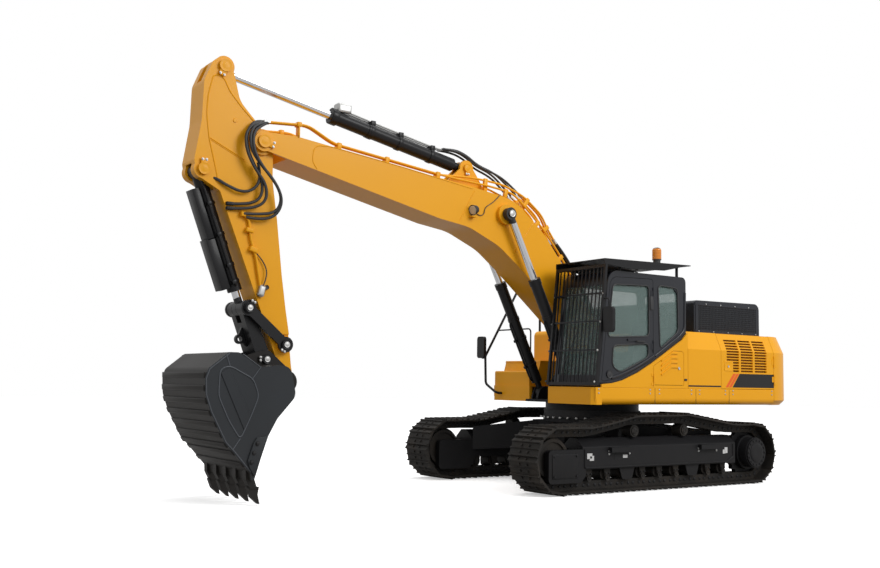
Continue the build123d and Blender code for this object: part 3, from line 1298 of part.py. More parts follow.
LINK_HALF = TIP_HALF
LUG_AT = (330.0, -150.0)  # lifting eye: along the link from the bucket's pin, and out from its middle
LUG_R = 62.0
LUG_HOLE_R = 30.0
LUG_T = 50.0
with BuildPart() as link:
    bar = along(BUCKET_LINK_PIN, LINK_PIN)
    length = reach(BUCKET_LINK_PIN, LINK_PIN)
    with BuildSketch(bar):
        Circle(98)
        with BuildLine():
            rounded([(0, -90, 0), (length - 40, -70, 0), (length - 40, 70, 0), (0, 90, 0)])
        make_face()
    extrude(amount=LINK_HALF, both=True)
    with BuildSketch(bar):
        with Locations((length, 0)):
            Circle(95)
    extrude(amount=ROCKER_IN - SIDE_GAP, both=True)
    with BuildSketch(bar):
        with Locations((length, 0)):
            Circle(180)
    extrude(amount=EAR_IN, both=True, mode=Mode.SUBTRACT)
    with BuildSketch(bar):
        Circle(PIN_R + PIN_GAP)
    extrude(amount=LINK_HALF + 5, both=True, mode=Mode.SUBTRACT)
    # lifting eye on the outer side
    with BuildSketch(bar):
        with Locations(LUG_AT):
            Circle(LUG_R)
        with BuildLine():
            Polyline((LUG_AT[0] - 150, -60), (LUG_AT[0] - LUG_R + 8, LUG_AT[1]), (LUG_AT[0] + LUG_R - 8, LUG_AT[1]),
                     (LUG_AT[0] + 150, -60), close=True)
        make_face()
        with Locations(LUG_AT):
            Circle(LUG_HOLE_R, mode=Mode.SUBTRACT)
    extrude(amount=LUG_T / 2, both=True)
write(link, "bucket_link")

# Bucket: hollow tub open towards the machine in the photographed pose, ears above, five teeth
WALL = 30.0
BUCKET_OUTLINE = [
    (5640, 1640, 120), (5800, 1664, 60), (6020, 1632, 60), (6320, 1800, 60), (6450, 1800, 60), (6700, 1600, 90),
    (6730, 1490, 60), (6720, 1300, 300), (6650, 1100, 300), (6460, 740, 300), (6350, 630, 200), (6200, 460, 200),
    (6130, 385, 0), (6115, 300, 0), (6075, 300, 0), (6050, 380, 0), (5930, 780, 60), (5800, 1020, 120),
    (5560, 1290, 140),
]
TEETH_Y = (-608.7, -304.0, 0.0, 304.0, 608.7)
with BuildPart() as bucket:
    with BuildSketch(side()):
        with BuildLine():
            rounded(BUCKET_OUTLINE)
        make_face()
    extrude(amount=BUCKET_HALF, both=True)
    with BuildSketch(side()):
        with BuildLine():
            rounded([(5500, 1560, 0), (5660, 1565, 60), (5800, 1590, 40), (6030, 1580, 60), (6330, 1760, 40),
                     (6440, 1760, 40), (6664, 1580, 70), (6690, 1490, 50), (6680, 1308, 280), (6612, 1114, 280),
                     (6424, 762, 280), (6316, 656, 180), (6160, 480, 150), (6060, 360, 0), (5700, 360, 0),
                     (5300, 1000, 0)])
        make_face()
    extrude(amount=BUCKET_HALF - WALL, both=True, mode=Mode.SUBTRACT)
    # room for the arm's tip
    with BuildSketch(side()):
        with Locations(BUCKET_PIN):
            Circle(150)
    extrude(amount=TIP_HALF + 60, both=True, mode=Mode.SUBTRACT)
    with BuildSketch(side()):
        with Locations((5450, 1560)):
            Rectangle(290, 320)
    extrude(amount=TIP_HALF + 60, both=True, mode=Mode.SUBTRACT)
    with BuildSketch(side()):
        with Locations(BUCKET_LINK_PIN):
            Circle(116)
    extrude(amount=TIP_HALF + 8, both=True, mode=Mode.SUBTRACT)
    # ears
    for hand in (1, -1):
        with BuildSketch(side(hand * (TIP_HALF + 30))):
            with BuildLine():
                rounded([(5440, 1330, 60), (5640, 1400, 60), (5700, 1610, 40), (6140, 1690, 0), (6180, 1730, 20),
                         (5820, 1840, 100), (5700, 1840, 80), (5360, 1560, 80)])
            make_face()
            with Locations(BUCKET_PIN):
                Circle(145)
            with Locations(BUCKET_LINK_PIN):
                Circle(110)
        extrude(amount=22, both=True)
    for at in (BUCKET_PIN, BUCKET_LINK_PIN):
        with BuildSketch(side()):
            with Locations(at):
                Circle(PIN_R)
        extrude(amount=TIP_HALF + 70, both=True)
    # adapters and teeth
    for y_at in TEETH_Y:
        with BuildSketch(side(y_at)):
            with BuildLine():
                rounded([(6160, 470, 0), (6150, 300, 30), (6090, 190, 0), (6000, 190, 0), (6040, 300, 30),
                         (6045, 420, 0)])
            make_face()
        extrude(amount=48, both=True)
        with BuildSketch(side(y_at)):
            with BuildLine():
                Polyline((6120, 210), (6070, 90), (5975, 8), (5962, 8), (5990, 120), (5975, 210), close=True)
            make_face()
        extrude(amount=40, both=True)
write(bucket, "bucket")
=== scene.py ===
import logging
import math
from collections.abc import Callable, Sequence
from dataclasses import dataclass
from enum import Enum

import bmesh
import bpy
from mathutils import Matrix, Vector


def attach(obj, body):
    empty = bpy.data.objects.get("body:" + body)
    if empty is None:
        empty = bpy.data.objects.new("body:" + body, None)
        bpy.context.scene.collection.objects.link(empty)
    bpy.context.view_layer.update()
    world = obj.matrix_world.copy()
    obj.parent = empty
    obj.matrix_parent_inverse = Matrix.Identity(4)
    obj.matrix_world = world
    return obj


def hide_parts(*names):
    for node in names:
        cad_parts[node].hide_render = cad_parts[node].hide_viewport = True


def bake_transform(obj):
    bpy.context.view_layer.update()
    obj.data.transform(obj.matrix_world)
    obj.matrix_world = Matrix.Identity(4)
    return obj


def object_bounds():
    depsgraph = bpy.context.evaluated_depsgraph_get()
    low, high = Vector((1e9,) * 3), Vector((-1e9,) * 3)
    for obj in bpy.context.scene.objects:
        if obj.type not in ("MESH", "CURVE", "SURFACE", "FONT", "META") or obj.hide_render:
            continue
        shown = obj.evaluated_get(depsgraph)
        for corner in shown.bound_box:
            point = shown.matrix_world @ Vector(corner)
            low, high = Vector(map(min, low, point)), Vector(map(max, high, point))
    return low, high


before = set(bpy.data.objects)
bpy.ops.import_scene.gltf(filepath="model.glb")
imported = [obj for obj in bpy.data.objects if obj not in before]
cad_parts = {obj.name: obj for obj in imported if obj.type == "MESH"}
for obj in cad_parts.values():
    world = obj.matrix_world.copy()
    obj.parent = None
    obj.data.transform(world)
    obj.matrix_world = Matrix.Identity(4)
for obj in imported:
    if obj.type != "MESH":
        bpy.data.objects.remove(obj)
CAD_BOX = [list(corner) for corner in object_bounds()]

# Looks of the crawler excavator. Metres. +X is forward, +Y the machine's left, +Z up.
# Places are given from the slew axis: forward, left, up.

log = logging.getLogger("excavator")
Colour = tuple[float, float, float]
Point = tuple[float, float, float]

SLEW_X = -1.665          # slew axis in the frame
SIDE_Y = 1.4975          # outer faces of the upper structure
ARM_HALF = 0.210
BOOM_HALF = 0.290
TRACK_Y = 1.295          # middle of each track
BOOM_CYLINDER_Y = 0.412  # middle of each boom cylinder
SIDES = ((1, "left"), (-1, "right"))
HANDS = (1, -1)          # the machine's left and right
EASE_STEPS = 5           # chords of an eased corner
EYE_REACH = 0.150        # how far from its pin a rod's eye is painted
LOOKS_ALONG = 0.9        # share of a face's normal that lies along the axis it looks along
BAND_SIDES = 40

# Pins of the front in the photographed pose: forward, up
BOOM_CYLINDER_FOOT = (0.700, 1.350)
BOOM_ROD_EYE = (2.030, 3.965)
ARM_CYLINDER_FOOT = (2.600, 4.620)
BOOM_END = (5.905, 4.485)
ARM_ROD_EYE = (6.430, 5.380)
BUCKET_CYLINDER_FOOT = (6.655, 4.045)
BUCKET_ROD_EYE = (6.015, 2.370)
ROCKER_PIN = (5.495, 1.930)
BUCKET_PIN = (5.460, 1.460)
BUCKET_LINK_PIN = (5.750, 1.740)


def at(forward: float, left: float, up: float) -> Vector:
    """Place measured from the slew axis.

    Args:
        forward: distance ahead of the slew axis.
        left: distance to the machine's left.
        up: height above the ground.

    Returns:
        The same place in the frame.
    """
    return Vector((SLEW_X + forward, left, up))


def pin_at(pin: tuple[float, float], left: float = 0.0) -> Vector:
    """Place on a pin's axis, at a distance to the machine's left."""
    return at(pin[0], left, pin[1])


class Value:
    """A socket's value in a material; arithmetic on it adds Math nodes."""

    def __init__(self, shader: "Shader", socket: bpy.types.NodeSocket) -> None:
        """Keep the material and the output socket that carries the value."""
        self.shader = shader
        self.socket = socket

    def math(self, operation: str, *others: "Value | float") -> "Value":
        """Add one Math node.

        Args:
            operation: the Math node's operation.
            others: what follows this value in the operation.

        Returns:
            The node's result.
        """
        return self.shader.node("ShaderNodeMath", {"operation": operation}, [self, *others])

    def __add__(self, other: "Value | float") -> "Value":
        """Add."""
        return self.math("ADD", other)

    def __mul__(self, other: "Value | float") -> "Value":
        """Multiply."""
        return self.math("MULTIPLY", other)

    def __sub__(self, other: "Value | float") -> "Value":
        """Subtract."""
        return self.math("SUBTRACT", other)

    def __rsub__(self, other: float) -> "Value":
        """Subtract this value from a number."""
        return self.shader.node("ShaderNodeMath", {"operation": "SUBTRACT"}, [other, self])

    def __gt__(self, edge: "Value | float") -> "Value":
        """One where this value is above the edge, else zero."""
        return self.math("GREATER_THAN", edge)

    __radd__ = __add__
    __rmul__ = __mul__


class Shader:
    """The nodes of a material round its Principled surface, or of the world round its background."""

    def __init__(self, name: str, world: bool = False) -> None:
        """Start a material, or a world, with its end node."""
        self.material = bpy.data.worlds.new(name) if world else bpy.data.materials.new(name)
        self.material.use_nodes = True
        self.tree = self.material.node_tree
        self.surface = self.tree.nodes["Background" if world else "Principled BSDF"]

    def node(self, kind: str, settings: dict | None = None, sockets: dict | list | None = None,
             output: int | str = 0) -> Value:
        """Add any node.

        Args:
            kind: the node's type.
            settings: its properties, set first; "stops" holds a ramp's (place, colour) rows.
            sockets: values or links of its inputs, by name or in order.
            output: which output is wanted.

        Returns:
            That output's value.
        """
        made = self.tree.nodes.new(kind)
        for key, value in (settings or {}).items():
            if key == "stops":
                ramp = made.color_ramp
                for _ in range(len(value) - len(ramp.elements)):
                    ramp.elements.new(0.5)
                for stop, (place, colour) in zip(ramp.elements, value):
                    stop.position = place
                    stop.color = (*colour, 1.0)
            else:
                setattr(made, key, value)
        pairs = sockets.items() if isinstance(sockets, dict) else enumerate(sockets or [])
        for key, value in pairs:
            if isinstance(value, Value):
                self.tree.links.new(value.socket, made.inputs[key])
            else:
                made.inputs[key].default_value = value
        return Value(self, made.outputs[output])

    def place(self) -> Value:
        """Object coordinates, which are the frame's metres."""
        return self.node("ShaderNodeTexCoord", output="Object")

    def noise(self, scale: float, detail: float = 2.0, stretch: Point = (1.0, 1.0, 1.0)) -> Value:
        """Noise over the frame.

        Args:
            scale: how many spots a metre.
            detail: octaves.
            stretch: factors along X, Y and Z.

        Returns:
            The noise, about 0.5 in the middle.
        """
        spread = self.node("ShaderNodeMapping", {}, {"Vector": self.place(), "Scale": stretch})
        return self.node("ShaderNodeTexNoise", {}, {"Vector": spread, "Scale": scale, "Detail": detail})

    def mix(self, factor: Value, low: "Colour | Value", high: "Colour | Value") -> Value:
        """Blend two colours.

        Args:
            factor: 0 gives low, 1 gives high.
            low: first colour.
            high: second colour.

        Returns:
            The blended colour.
        """
        ends = [end if isinstance(end, Value) else (*end, 1.0) for end in (low, high)]
        return self.node("ShaderNodeMix", {"data_type": "RGBA"}, {0: factor, 6: ends[0], 7: ends[1]}, 2)

    def set(self, sockets: dict) -> None:
        """Give the surface values or links, by socket name."""
        for key, value in sockets.items():
            if isinstance(value, Value):
                self.tree.links.new(value.socket, self.surface.inputs[key])
            else:
                self.surface.inputs[key].default_value = value

    def bump(self, height: Value, distance: float, strength: float = 1.0) -> None:
        """Raise the surface by a height of that many metres."""
        lifted = self.node("ShaderNodeBump", {},
                           {"Height": height, "Distance": distance, "Strength": strength})
        self.set({"Normal": lifted})


@dataclass(frozen=True)
class Enamel:
    """Sprayed paint: an even tone with soft clouds, fine orange peel and a light film of dust low down.

    Where shade is given, what lies nearer the machine's middle plane than flank has that tone instead, a
    darker painted shade.
    """

    name: str
    colour: Colour
    cloud: Colour
    dust: Colour
    roughness: float = 0.36
    coat: float = 0.06
    gloss: float = 0.30
    peel: float = 0.00025
    dust_top: float = 1.2
    dust_share: float = 0.35
    shade: Colour | None = None
    flank: float = 0.0

    def make(self) -> bpy.types.Material:
        """Build the material."""
        shader = Shader(self.name)
        clouds = shader.noise(1.3, 4.0)
        height = shader.node("ShaderNodeSeparateXYZ", {}, [shader.place()], 2)
        low = (1.0 - height * (1.0 / self.dust_top)).math("MAXIMUM", 0.0)
        film = low * shader.noise(6.0, 5.0) * self.dust_share
        tone = shader.mix(clouds, self.cloud, self.colour)
        # painted shade: inside the flank the darker tone stands in for shadow
        if self.shade:
            across = shader.node("ShaderNodeSeparateXYZ", {}, [shader.place()], 1).math("ABSOLUTE")
            tone = shader.mix(across > self.flank, self.shade, tone)
        shader.set({
            "Base Color": shader.mix(film, tone, self.dust),
            "Roughness": self.roughness + clouds * 0.06 + film * 0.3,
            "Specular IOR Level": self.gloss,
            "Coat Weight": self.coat,
            "Coat Roughness": 0.10,
        })
        shader.bump(shader.noise(330.0, 1.0), self.peel, 0.5)
        return shader.material


@dataclass(frozen=True)
class Iron:
    """Cast or rolled steel: mottled tone, dry patches, a rough skin."""

    name: str
    dark: Colour
    light: Colour
    earth: Colour
    roughness: float = 0.55
    metallic: float = 0.35
    grain: float = 0.0012
    earth_share: float = 0.35

    def make(self) -> bpy.types.Material:
        """Build the material."""
        shader = Shader(self.name)
        mottle = shader.noise(9.0, 6.0)
        patch = shader.node("ShaderNodeValToRGB", {"stops": [(0.45, (0, 0, 0)), (0.7, (1, 1, 1))]},
                            [shader.noise(3.2, 4.0)])
        tone = shader.mix(mottle, self.dark, self.light)
        shader.set({
            "Base Color": shader.mix(patch * self.earth_share, tone, self.earth),
            "Roughness": self.roughness + mottle * 0.2,
            "Metallic": self.metallic,
            "Specular IOR Level": 0.3,
        })
        shader.bump(shader.noise(70.0, 3.0), self.grain, 0.5)
        return shader.material


@dataclass(frozen=True)
class Bright:
    """Bare bright metal: chromed rods, zinc plated bolts and blocks."""

    name: str
    colour: Colour
    roughness: float
    spread: float

    def make(self) -> bpy.types.Material:
        """Build the material."""
        shader = Shader(self.name)
        streak = shader.noise(40.0, 3.0, (0.3, 1.0, 1.0))
        shader.set({
            "Base Color": shader.mix(streak, tuple(0.85 * part for part in self.colour), self.colour),
            "Roughness": self.roughness + streak * self.spread,
            "Metallic": 1.0,
        })
        return shader.material


@dataclass(frozen=True)
class Rod:
    """Chromed piston rod whose eye, round a pin, is painted dark."""

    name: str
    eye: tuple[float, float]
    reach: float
    chrome: Colour = (0.62, 0.63, 0.65)
    paint: Colour = (0.020, 0.021, 0.023)

    def make(self) -> bpy.types.Material:
        """Build the material."""
        shader = Shader(self.name)
        forward = shader.node("ShaderNodeSeparateXYZ", {}, [shader.place()], 0) - (SLEW_X + self.eye[0])
        upward = shader.node("ShaderNodeSeparateXYZ", {}, [shader.place()], 2) - self.eye[1]
        bare = (forward * forward + upward * upward) > self.reach ** 2
        streak = shader.noise(30.0, 3.0, (0.3, 1.0, 1.0))
        shader.set({
            "Base Color": shader.mix(bare, self.paint, self.chrome),
            "Roughness": 0.40 - bare * 0.26 + streak * 0.06,
            "Metallic": bare,
            "Specular IOR Level": 0.3,
        })
        return shader.material


@dataclass(frozen=True)
class Beacon:
    """Amber lens between a dark foot and a dark cap."""

    name: str
    lens: Colour
    foot_top: float
    cap_low: float

    def make(self) -> bpy.types.Material:
        """Build the material."""
        shader = Shader(self.name)
        height = shader.node("ShaderNodeSeparateXYZ", {}, [shader.place()], 2)
        lit = (height > self.foot_top) * (1.0 - (height > self.cap_low))
        ribs = (height * 260.0).math("SINE") * 0.12 + 0.88
        amber = shader.mix(shader.noise(18.0, 3.0), tuple(0.7 * part for part in self.lens), self.lens)
        shader.set({
            "Base Color": shader.mix(lit * ribs, (0.018, 0.018, 0.019), amber),
            "Roughness": 0.32 - lit * 0.18,
        })
        shader.bump(ribs * lit, 0.0015, 0.6)
        return shader.material


@dataclass(frozen=True)
class Pliant:
    """Rubber, moulded plastic or woven cloth, by the scale and depth of its grain."""

    name: str
    colour: Colour
    worn: Colour
    roughness: float
    grain_scale: float
    grain_depth: float
    sheen: float = 0.0

    def make(self) -> bpy.types.Material:
        """Build the material."""
        shader = Shader(self.name)
        grain = shader.noise(self.grain_scale, 2.0)
        shader.set({
            "Base Color": shader.mix(shader.noise(14.0, 4.0), self.colour, self.worn),
            "Roughness": self.roughness + grain * 0.15,
            "Sheen Weight": self.sheen,
        })
        shader.bump(grain, self.grain_depth, 0.6)
        return shader.material


@dataclass(frozen=True)
class Pane:
    """Glass or a clear lens, thinly coloured."""

    name: str
    colour: Colour
    cover: float
    roughness: float = 0.03
    glow: float = 0.0

    def make(self) -> bpy.types.Material:
        """Build the material."""
        shader = Shader(self.name)
        film = shader.noise(2.5, 3.0)
        shader.set({
            "Base Color": shader.mix(film, self.colour, tuple(min(1.0, 1.15 * part) for part in self.colour)),
            "Roughness": self.roughness + film * 0.02,
            "Alpha": self.cover - 0.05 + film * 0.1,
            "Emission Color": (*self.colour, 1.0),
            "Emission Strength": self.glow,
            "IOR": 1.5,
        })
        return shader.material


class Coat(Enum):
    """The finishes of the machine."""

    YELLOW = Enamel("yellow_enamel", (0.82, 0.370, 0.009), (0.76, 0.335, 0.006), (0.58, 0.30, 0.06),
                    0.34, 0.04, 0.18, dust_share=0.15)
    STRIPE = Enamel("stripe_black", (0.014, 0.013, 0.013), (0.018, 0.017, 0.017), (0.05, 0.045, 0.04),
                    gloss=0.2)
    CHEVRON = Enamel("chevron_orange", (0.78, 0.125, 0.012), (0.72, 0.110, 0.010), (0.5, 0.2, 0.1))
    # the shell and wear bars between the side plates get a darker painted shade
    BUCKET = Enamel("bucket_enamel", (0.036, 0.040, 0.045), (0.025, 0.027, 0.030), (0.050, 0.046, 0.041),
                    0.45, 0.02, 0.15, shade=(0.017, 0.0155, 0.0145), flank=0.722)
    # Lighter than the bucket's paint: a painted highlight along the bucket's beads and edges.
    SEAM = Enamel("seam_highlight_enamel", (0.090, 0.098, 0.112), (0.060, 0.066, 0.076), (0.09, 0.085, 0.08),
                  0.45, 0.03, 0.3)
    DARK = Enamel("charcoal_enamel", (0.0125, 0.0125, 0.0140), (0.0085, 0.0085, 0.0095),
                  (0.040, 0.036, 0.030), 0.42, 0.03, 0.14, dust_share=0.2)
    HOOD = Enamel("hood_enamel", (0.022, 0.024, 0.030), (0.018, 0.019, 0.024), (0.05, 0.05, 0.05),
                  0.38, 0.05, 0.25)
    CYLINDER = Enamel("cylinder_black", (0.0120, 0.0120, 0.0135), (0.0085, 0.0085, 0.0095),
                      (0.04, 0.036, 0.03), 0.34, 0.05, 0.2)
    CAB = Enamel("cab_enamel", (0.0130, 0.0145, 0.0200), (0.0100, 0.0110, 0.0155), (0.04, 0.04, 0.04),
                 0.26, 0.25, 0.3)
    TRACK = Iron("track_steel", (0.0105, 0.0095, 0.0090), (0.028, 0.025, 0.022), (0.058, 0.044, 0.032))
    FORGED = Iron("forged_steel", (0.016, 0.016, 0.017), (0.034, 0.034, 0.035), (0.05, 0.045, 0.04),
                  0.45, 0.5, 0.0006, 0.2)
    CHROME_BOOM = Rod("chrome_boom_rod", BOOM_ROD_EYE, EYE_REACH)
    CHROME_ARM = Rod("chrome_arm_rod", ARM_ROD_EYE, EYE_REACH)
    CHROME_BUCKET = Rod("chrome_bucket_rod", BUCKET_ROD_EYE, EYE_REACH)
    ZINC = Bright("zinc", (0.50, 0.50, 0.49), 0.34, 0.20)
    RUBBER = Pliant("hose_rubber", (0.012, 0.012, 0.013), (0.026, 0.026, 0.027), 0.42, 260.0, 0.0004)
    PLASTIC = Pliant("cab_plastic", (0.014, 0.014, 0.016), (0.022, 0.022, 0.024), 0.5, 500.0, 0.0003)
    CLOTH = Pliant("seat_cloth", (0.030, 0.031, 0.036), (0.055, 0.056, 0.062), 0.80, 700.0, 0.0008, 0.4)
    # Near-black: painted shade behind the hood's grid and inside the track frames' slots, and the skirt's
    # dark joints.
    MESH = Pliant("shadow_mesh", (0.006, 0.006, 0.007), (0.012, 0.012, 0.012), 0.8, 220.0, 0.0008)
    # Painted shade: amber for the slats' yellow undersides in shadow, seen through the grille's slots.
    AMBER_MESH = Pliant("grille_slat_shade", (0.26, 0.105, 0.006), (0.34, 0.140, 0.008), 0.7, 260.0, 0.002)
    PLATE = Enamel("blank_plate", (0.60, 0.60, 0.60), (0.52, 0.52, 0.52), (0.4, 0.38, 0.34), 0.5, 0.0)
    GLASS = Pane("window_glass", (0.16, 0.23, 0.215), 0.42)
    LAMP = Pane("lamp_glass", (0.70, 0.62, 0.48), 0.75, 0.08)
    BEACON = Beacon("beacon_lens", (0.86, 0.27, 0.012), 3.372, 3.530)


class Workshop:
    """Makes each finish once and keeps it."""

    made: dict[Coat, bpy.types.Material] = {}

    @classmethod
    def coat(cls, finish: Coat) -> bpy.types.Material:
        """The material of a finish, built when first asked for."""
        if finish not in cls.made:
            cls.made[finish] = finish.value.make()
        return cls.made[finish]


def clear_bench() -> None:
    """Leave edit mode and select nothing."""
    if bpy.context.object and bpy.context.object.mode != "OBJECT":
        bpy.ops.object.mode_set(mode="OBJECT")
    bpy.ops.object.select_all(action="DESELECT")


class Blank:
    """A piece on the bench: it starts as a primitive and is shaped by edit operators."""

    def __init__(self, piece: bpy.types.Object) -> None:
        """Take the piece, with its turn and size put into its mesh."""
        self.piece = piece
        bpy.ops.object.transform_apply(location=True, rotation=True, scale=True)

    @classmethod
    def box(cls, low: Vector, high: Vector) -> "Blank":
        """Block between two corners."""
        clear_bench()
        low, high = Vector(low), Vector(high)
        bpy.ops.mesh.primitive_cube_add(size=1.0, location=(low + high) / 2, scale=high - low)
        return cls(bpy.context.object)

    @classmethod
    def round(cls, start: Vector, end: Vector, radius: float, sides: int = 24,
              tip: float | None = None) -> "Blank":
        """Round bar or cone.

        Args:
            start: middle of its first end.
            end: middle of its second end.
            radius: radius at the start.
            sides: number of flats round it.
            tip: radius at the end, the same as the start's when left out.

        Returns:
            The bar.
        """
        clear_bench()
        run = Vector(end) - Vector(start)
        bpy.ops.mesh.primitive_cone_add(vertices=sides, radius1=radius,
                                        radius2=radius if tip is None else tip, depth=run.length,
                                        location=(Vector(start) + Vector(end)) / 2,
                                        rotation=run.to_track_quat("Z", "Y").to_euler())
        return cls(bpy.context.object)

    @classmethod
    def band(cls, start: Vector, end: Vector, radius: float, thick: float) -> "Blank":
        """Hoop between two places on its axis, with its outer radius and thickness."""
        clear_bench()
        run = Vector(end) - Vector(start)
        bpy.ops.mesh.primitive_cylinder_add(vertices=BAND_SIDES, radius=radius, depth=run.length,
                                            end_fill_type="NOTHING",
                                            location=(Vector(start) + Vector(end)) / 2,
                                            rotation=run.to_track_quat("Z", "Y").to_euler())
        hoop = cls(bpy.context.object)
        wall = hoop.piece.modifiers.new("wall", "SOLIDIFY")
        wall.thickness = thick
        wall.offset = -1.0
        bpy.ops.object.modifier_apply(modifier=wall.name)
        return hoop

    @classmethod
    def outline(cls, corners: Sequence[Vector]) -> "Blank":
        """Flat face through the given corners."""
        clear_bench()
        bpy.ops.mesh.primitive_circle_add(vertices=len(corners), fill_type="NGON")
        blank = cls(bpy.context.object)
        for vertex, corner in zip(blank.piece.data.vertices, corners):
            vertex.co = corner
        return blank

    def pick(self, test: Callable[[Vector, Vector], bool]) -> "Blank":
        """Select the faces whose centre and normal pass a test, in edit mode."""
        bpy.context.view_layer.objects.active = self.piece
        bpy.ops.object.mode_set(mode="EDIT")
        bpy.ops.mesh.select_mode(type="FACE")
        bpy.ops.mesh.select_all(action="DESELECT")
        mesh = bmesh.from_edit_mesh(self.piece.data)
        for face in mesh.faces:
            face.select_set(test(face.calc_center_median(), face.normal))
        bmesh.update_edit_mesh(self.piece.data)
        return self

    def toward(self, axis: Vector) -> "Blank":
        """Pick the faces that look along an axis."""
        return self.pick(lambda centre, normal: normal.dot(Vector(axis)) > LOOKS_ALONG)

    def inset(self, wide: float, deep: float = 0.0) -> "Blank":
        """Inset the picked faces together, and push them in when deep is negative."""
        bpy.ops.mesh.inset(thickness=wide, depth=deep)
        return self

    def push(self, move: Vector) -> "Blank":
        """Extrude the picked faces by a move."""
        bpy.ops.mesh.extrude_region_move(TRANSFORM_OT_translate={"value": Vector(move)})
        return self

    def shrink(self, factor: Point) -> "Blank":
        """Scale what is picked about its middle."""
        bpy.ops.transform.resize(value=factor)
        return self

    def everything(self) -> "Blank":
        """Pick all faces."""
        return self.pick(lambda centre, normal: True)

    def thicken(self, move: Vector) -> "Blank":
        """Make a flat outline a plate, by extruding it, with its faces turned outwards."""
        self.everything().push(move)
        bpy.ops.mesh.select_all(action="SELECT")
        bpy.ops.mesh.normals_make_consistent(inside=False)
        bpy.ops.object.mode_set(mode="OBJECT")
        return self

    def soften(self, width: float, segments: int = 2, angle: float = 30.0) -> "Blank":
        """Round the edges sharper than an angle in degrees."""
        clear_bench()
        bpy.context.view_layer.objects.active = self.piece
        self.piece.select_set(True)
        rim = self.piece.modifiers.new("rim", "BEVEL")
        rim.width = width
        rim.segments = segments
        rim.limit_method = "ANGLE"
        rim.angle_limit = math.radians(angle)
        bpy.ops.object.modifier_apply(modifier=rim.name)
        return self

    def smooth(self, levels: int) -> "Blank":
        """Apply a subdivision surface."""
        clear_bench()
        bpy.context.view_layer.objects.active = self.piece
        self.piece.select_set(True)
        rounder = self.piece.modifiers.new("rounder", "SUBSURF")
        rounder.levels = rounder.render_levels = levels
        bpy.ops.object.modifier_apply(modifier=rounder.name)
        return self

    def stamp(self, places: Sequence[Matrix]) -> "Blank":
        """Copy the piece to each place in turn, as one joined mesh.

        Args:
            places: where each copy goes; the piece itself was modelled round the frame's origin.

        Returns:
            This blank, now holding all the copies.
        """
        clear_bench()
        model = self.piece.data
        joined = bmesh.new()
        for place in places:
            copy = model.copy()
            copy.transform(place)
            if place.determinant() < 0:
                copy.flip_normals()
            joined.from_mesh(copy)
            bpy.data.meshes.remove(copy)
        joined.to_mesh(model)
        joined.free()
        return self


def join(blanks: Sequence[Blank]) -> Blank:
    """Join several blanks into the first."""
    clear_bench()
    for blank in blanks:
        blank.piece.select_set(True)
    bpy.context.view_layer.objects.active = blanks[0].piece
    if len(blanks) > 1:
        bpy.ops.object.join()
    return Blank(bpy.context.object)


def eased(corners: Sequence[tuple[float, ...]], radius: float,
          closed: bool = True) -> list[tuple[float, ...]]:
    """Ease the corners of an outline.

    Args:
        corners: its corners.
        radius: how far before and after a corner it leaves the straight.
        closed: whether the last corner joins the first.

    Returns:
        The eased outline's points.
    """
    spots = [Vector(corner) for corner in corners]
    count = len(spots)
    points: list[tuple[float, ...]] = []
    for index, spot in enumerate(spots):
        if not closed and index in (0, count - 1):
            points.append(tuple(spot))
            continue
        back, ahead = spots[index - 1] - spot, spots[(index + 1) % count] - spot
        start = spot + back.normalized() * min(radius, back.length * 0.45)
        end = spot + ahead.normalized() * min(radius, ahead.length * 0.45)
        for step in range(EASE_STEPS + 1):
            part = step / EASE_STEPS
            points.append(tuple(start * (1 - part) ** 2 + spot * 2 * part * (1 - part) + end * part ** 2))
    return points


def tube(points: Sequence[Vector], radius: float, sides: int = 5, straight: bool = False,
         closed: bool = False) -> Blank:
    """Round tube or hose along points.

    Args:
        points: where it runs; a curve leans on them as control points.
        radius: half its thickness.
        sides: how finely it is rounded.
        straight: whether it goes through its points instead.
        closed: whether its end joins its start.

    Returns:
        The tube.
    """
    clear_bench()
    curve = bpy.data.curves.new("run", "CURVE")
    curve.dimensions = "3D"
    curve.bevel_depth = radius
    curve.bevel_resolution = sides
    curve.use_fill_caps = True
    curve.resolution_u = 10
    spline = curve.splines.new("POLY" if straight else "NURBS")
    spline.use_cyclic_u = closed
    spline.points.add(len(points) - 1)
    for knot, point in zip(spline.points, points):
        knot.co = (*point, 1.0)
    if not straight:
        spline.order_u = 3
        spline.use_endpoint_u = True
    piece = bpy.data.objects.new("run", curve)
    bpy.context.collection.objects.link(piece)
    bpy.context.view_layer.objects.active = piece
    piece.select_set(True)
    bpy.ops.object.convert(target="MESH")
    return Blank(bpy.context.object)


def bead(points: Sequence[tuple[float, float]], left: float, radius: float, sides: int = 2,
         closed: bool = False) -> Blank:
    """Bead, bar or line through points that all lie at one distance to the left.

    Args:
        points: forward and up of each point.
        left: their distance to the machine's left.
        radius: half its thickness.
        sides: how finely it is rounded.
        closed: whether its end joins its start.

    Returns:
        The bead.
    """
    return tube([at(forward, left, up) for forward, up in points], radius, sides, True, closed)


def finish(blank: Blank, name: str, body: str | None, coat: Coat, angle: float = 35.0) -> bpy.types.Object:
    """Name, shade and paint a piece, and let it ride on its body.

    Args:
        blank: the shaped piece.
        name: its name.
        coat: its finish.
        angle: edges sharper than this in degrees stay sharp.

    Returns:
        The finished piece.
    """
    clear_bench()
    piece = blank.piece
    bpy.context.view_layer.objects.active = piece
    piece.select_set(True)
    bpy.ops.object.shade_smooth_by_angle(angle=math.radians(angle))
    piece.name = piece.data.name = name
    piece.data.materials.clear()
    piece.data.materials.append(Workshop.coat(coat))
    if body:
        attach(piece, body)
    log.info("%s: %d faces", name, len(piece.data.polygons))
    return piece


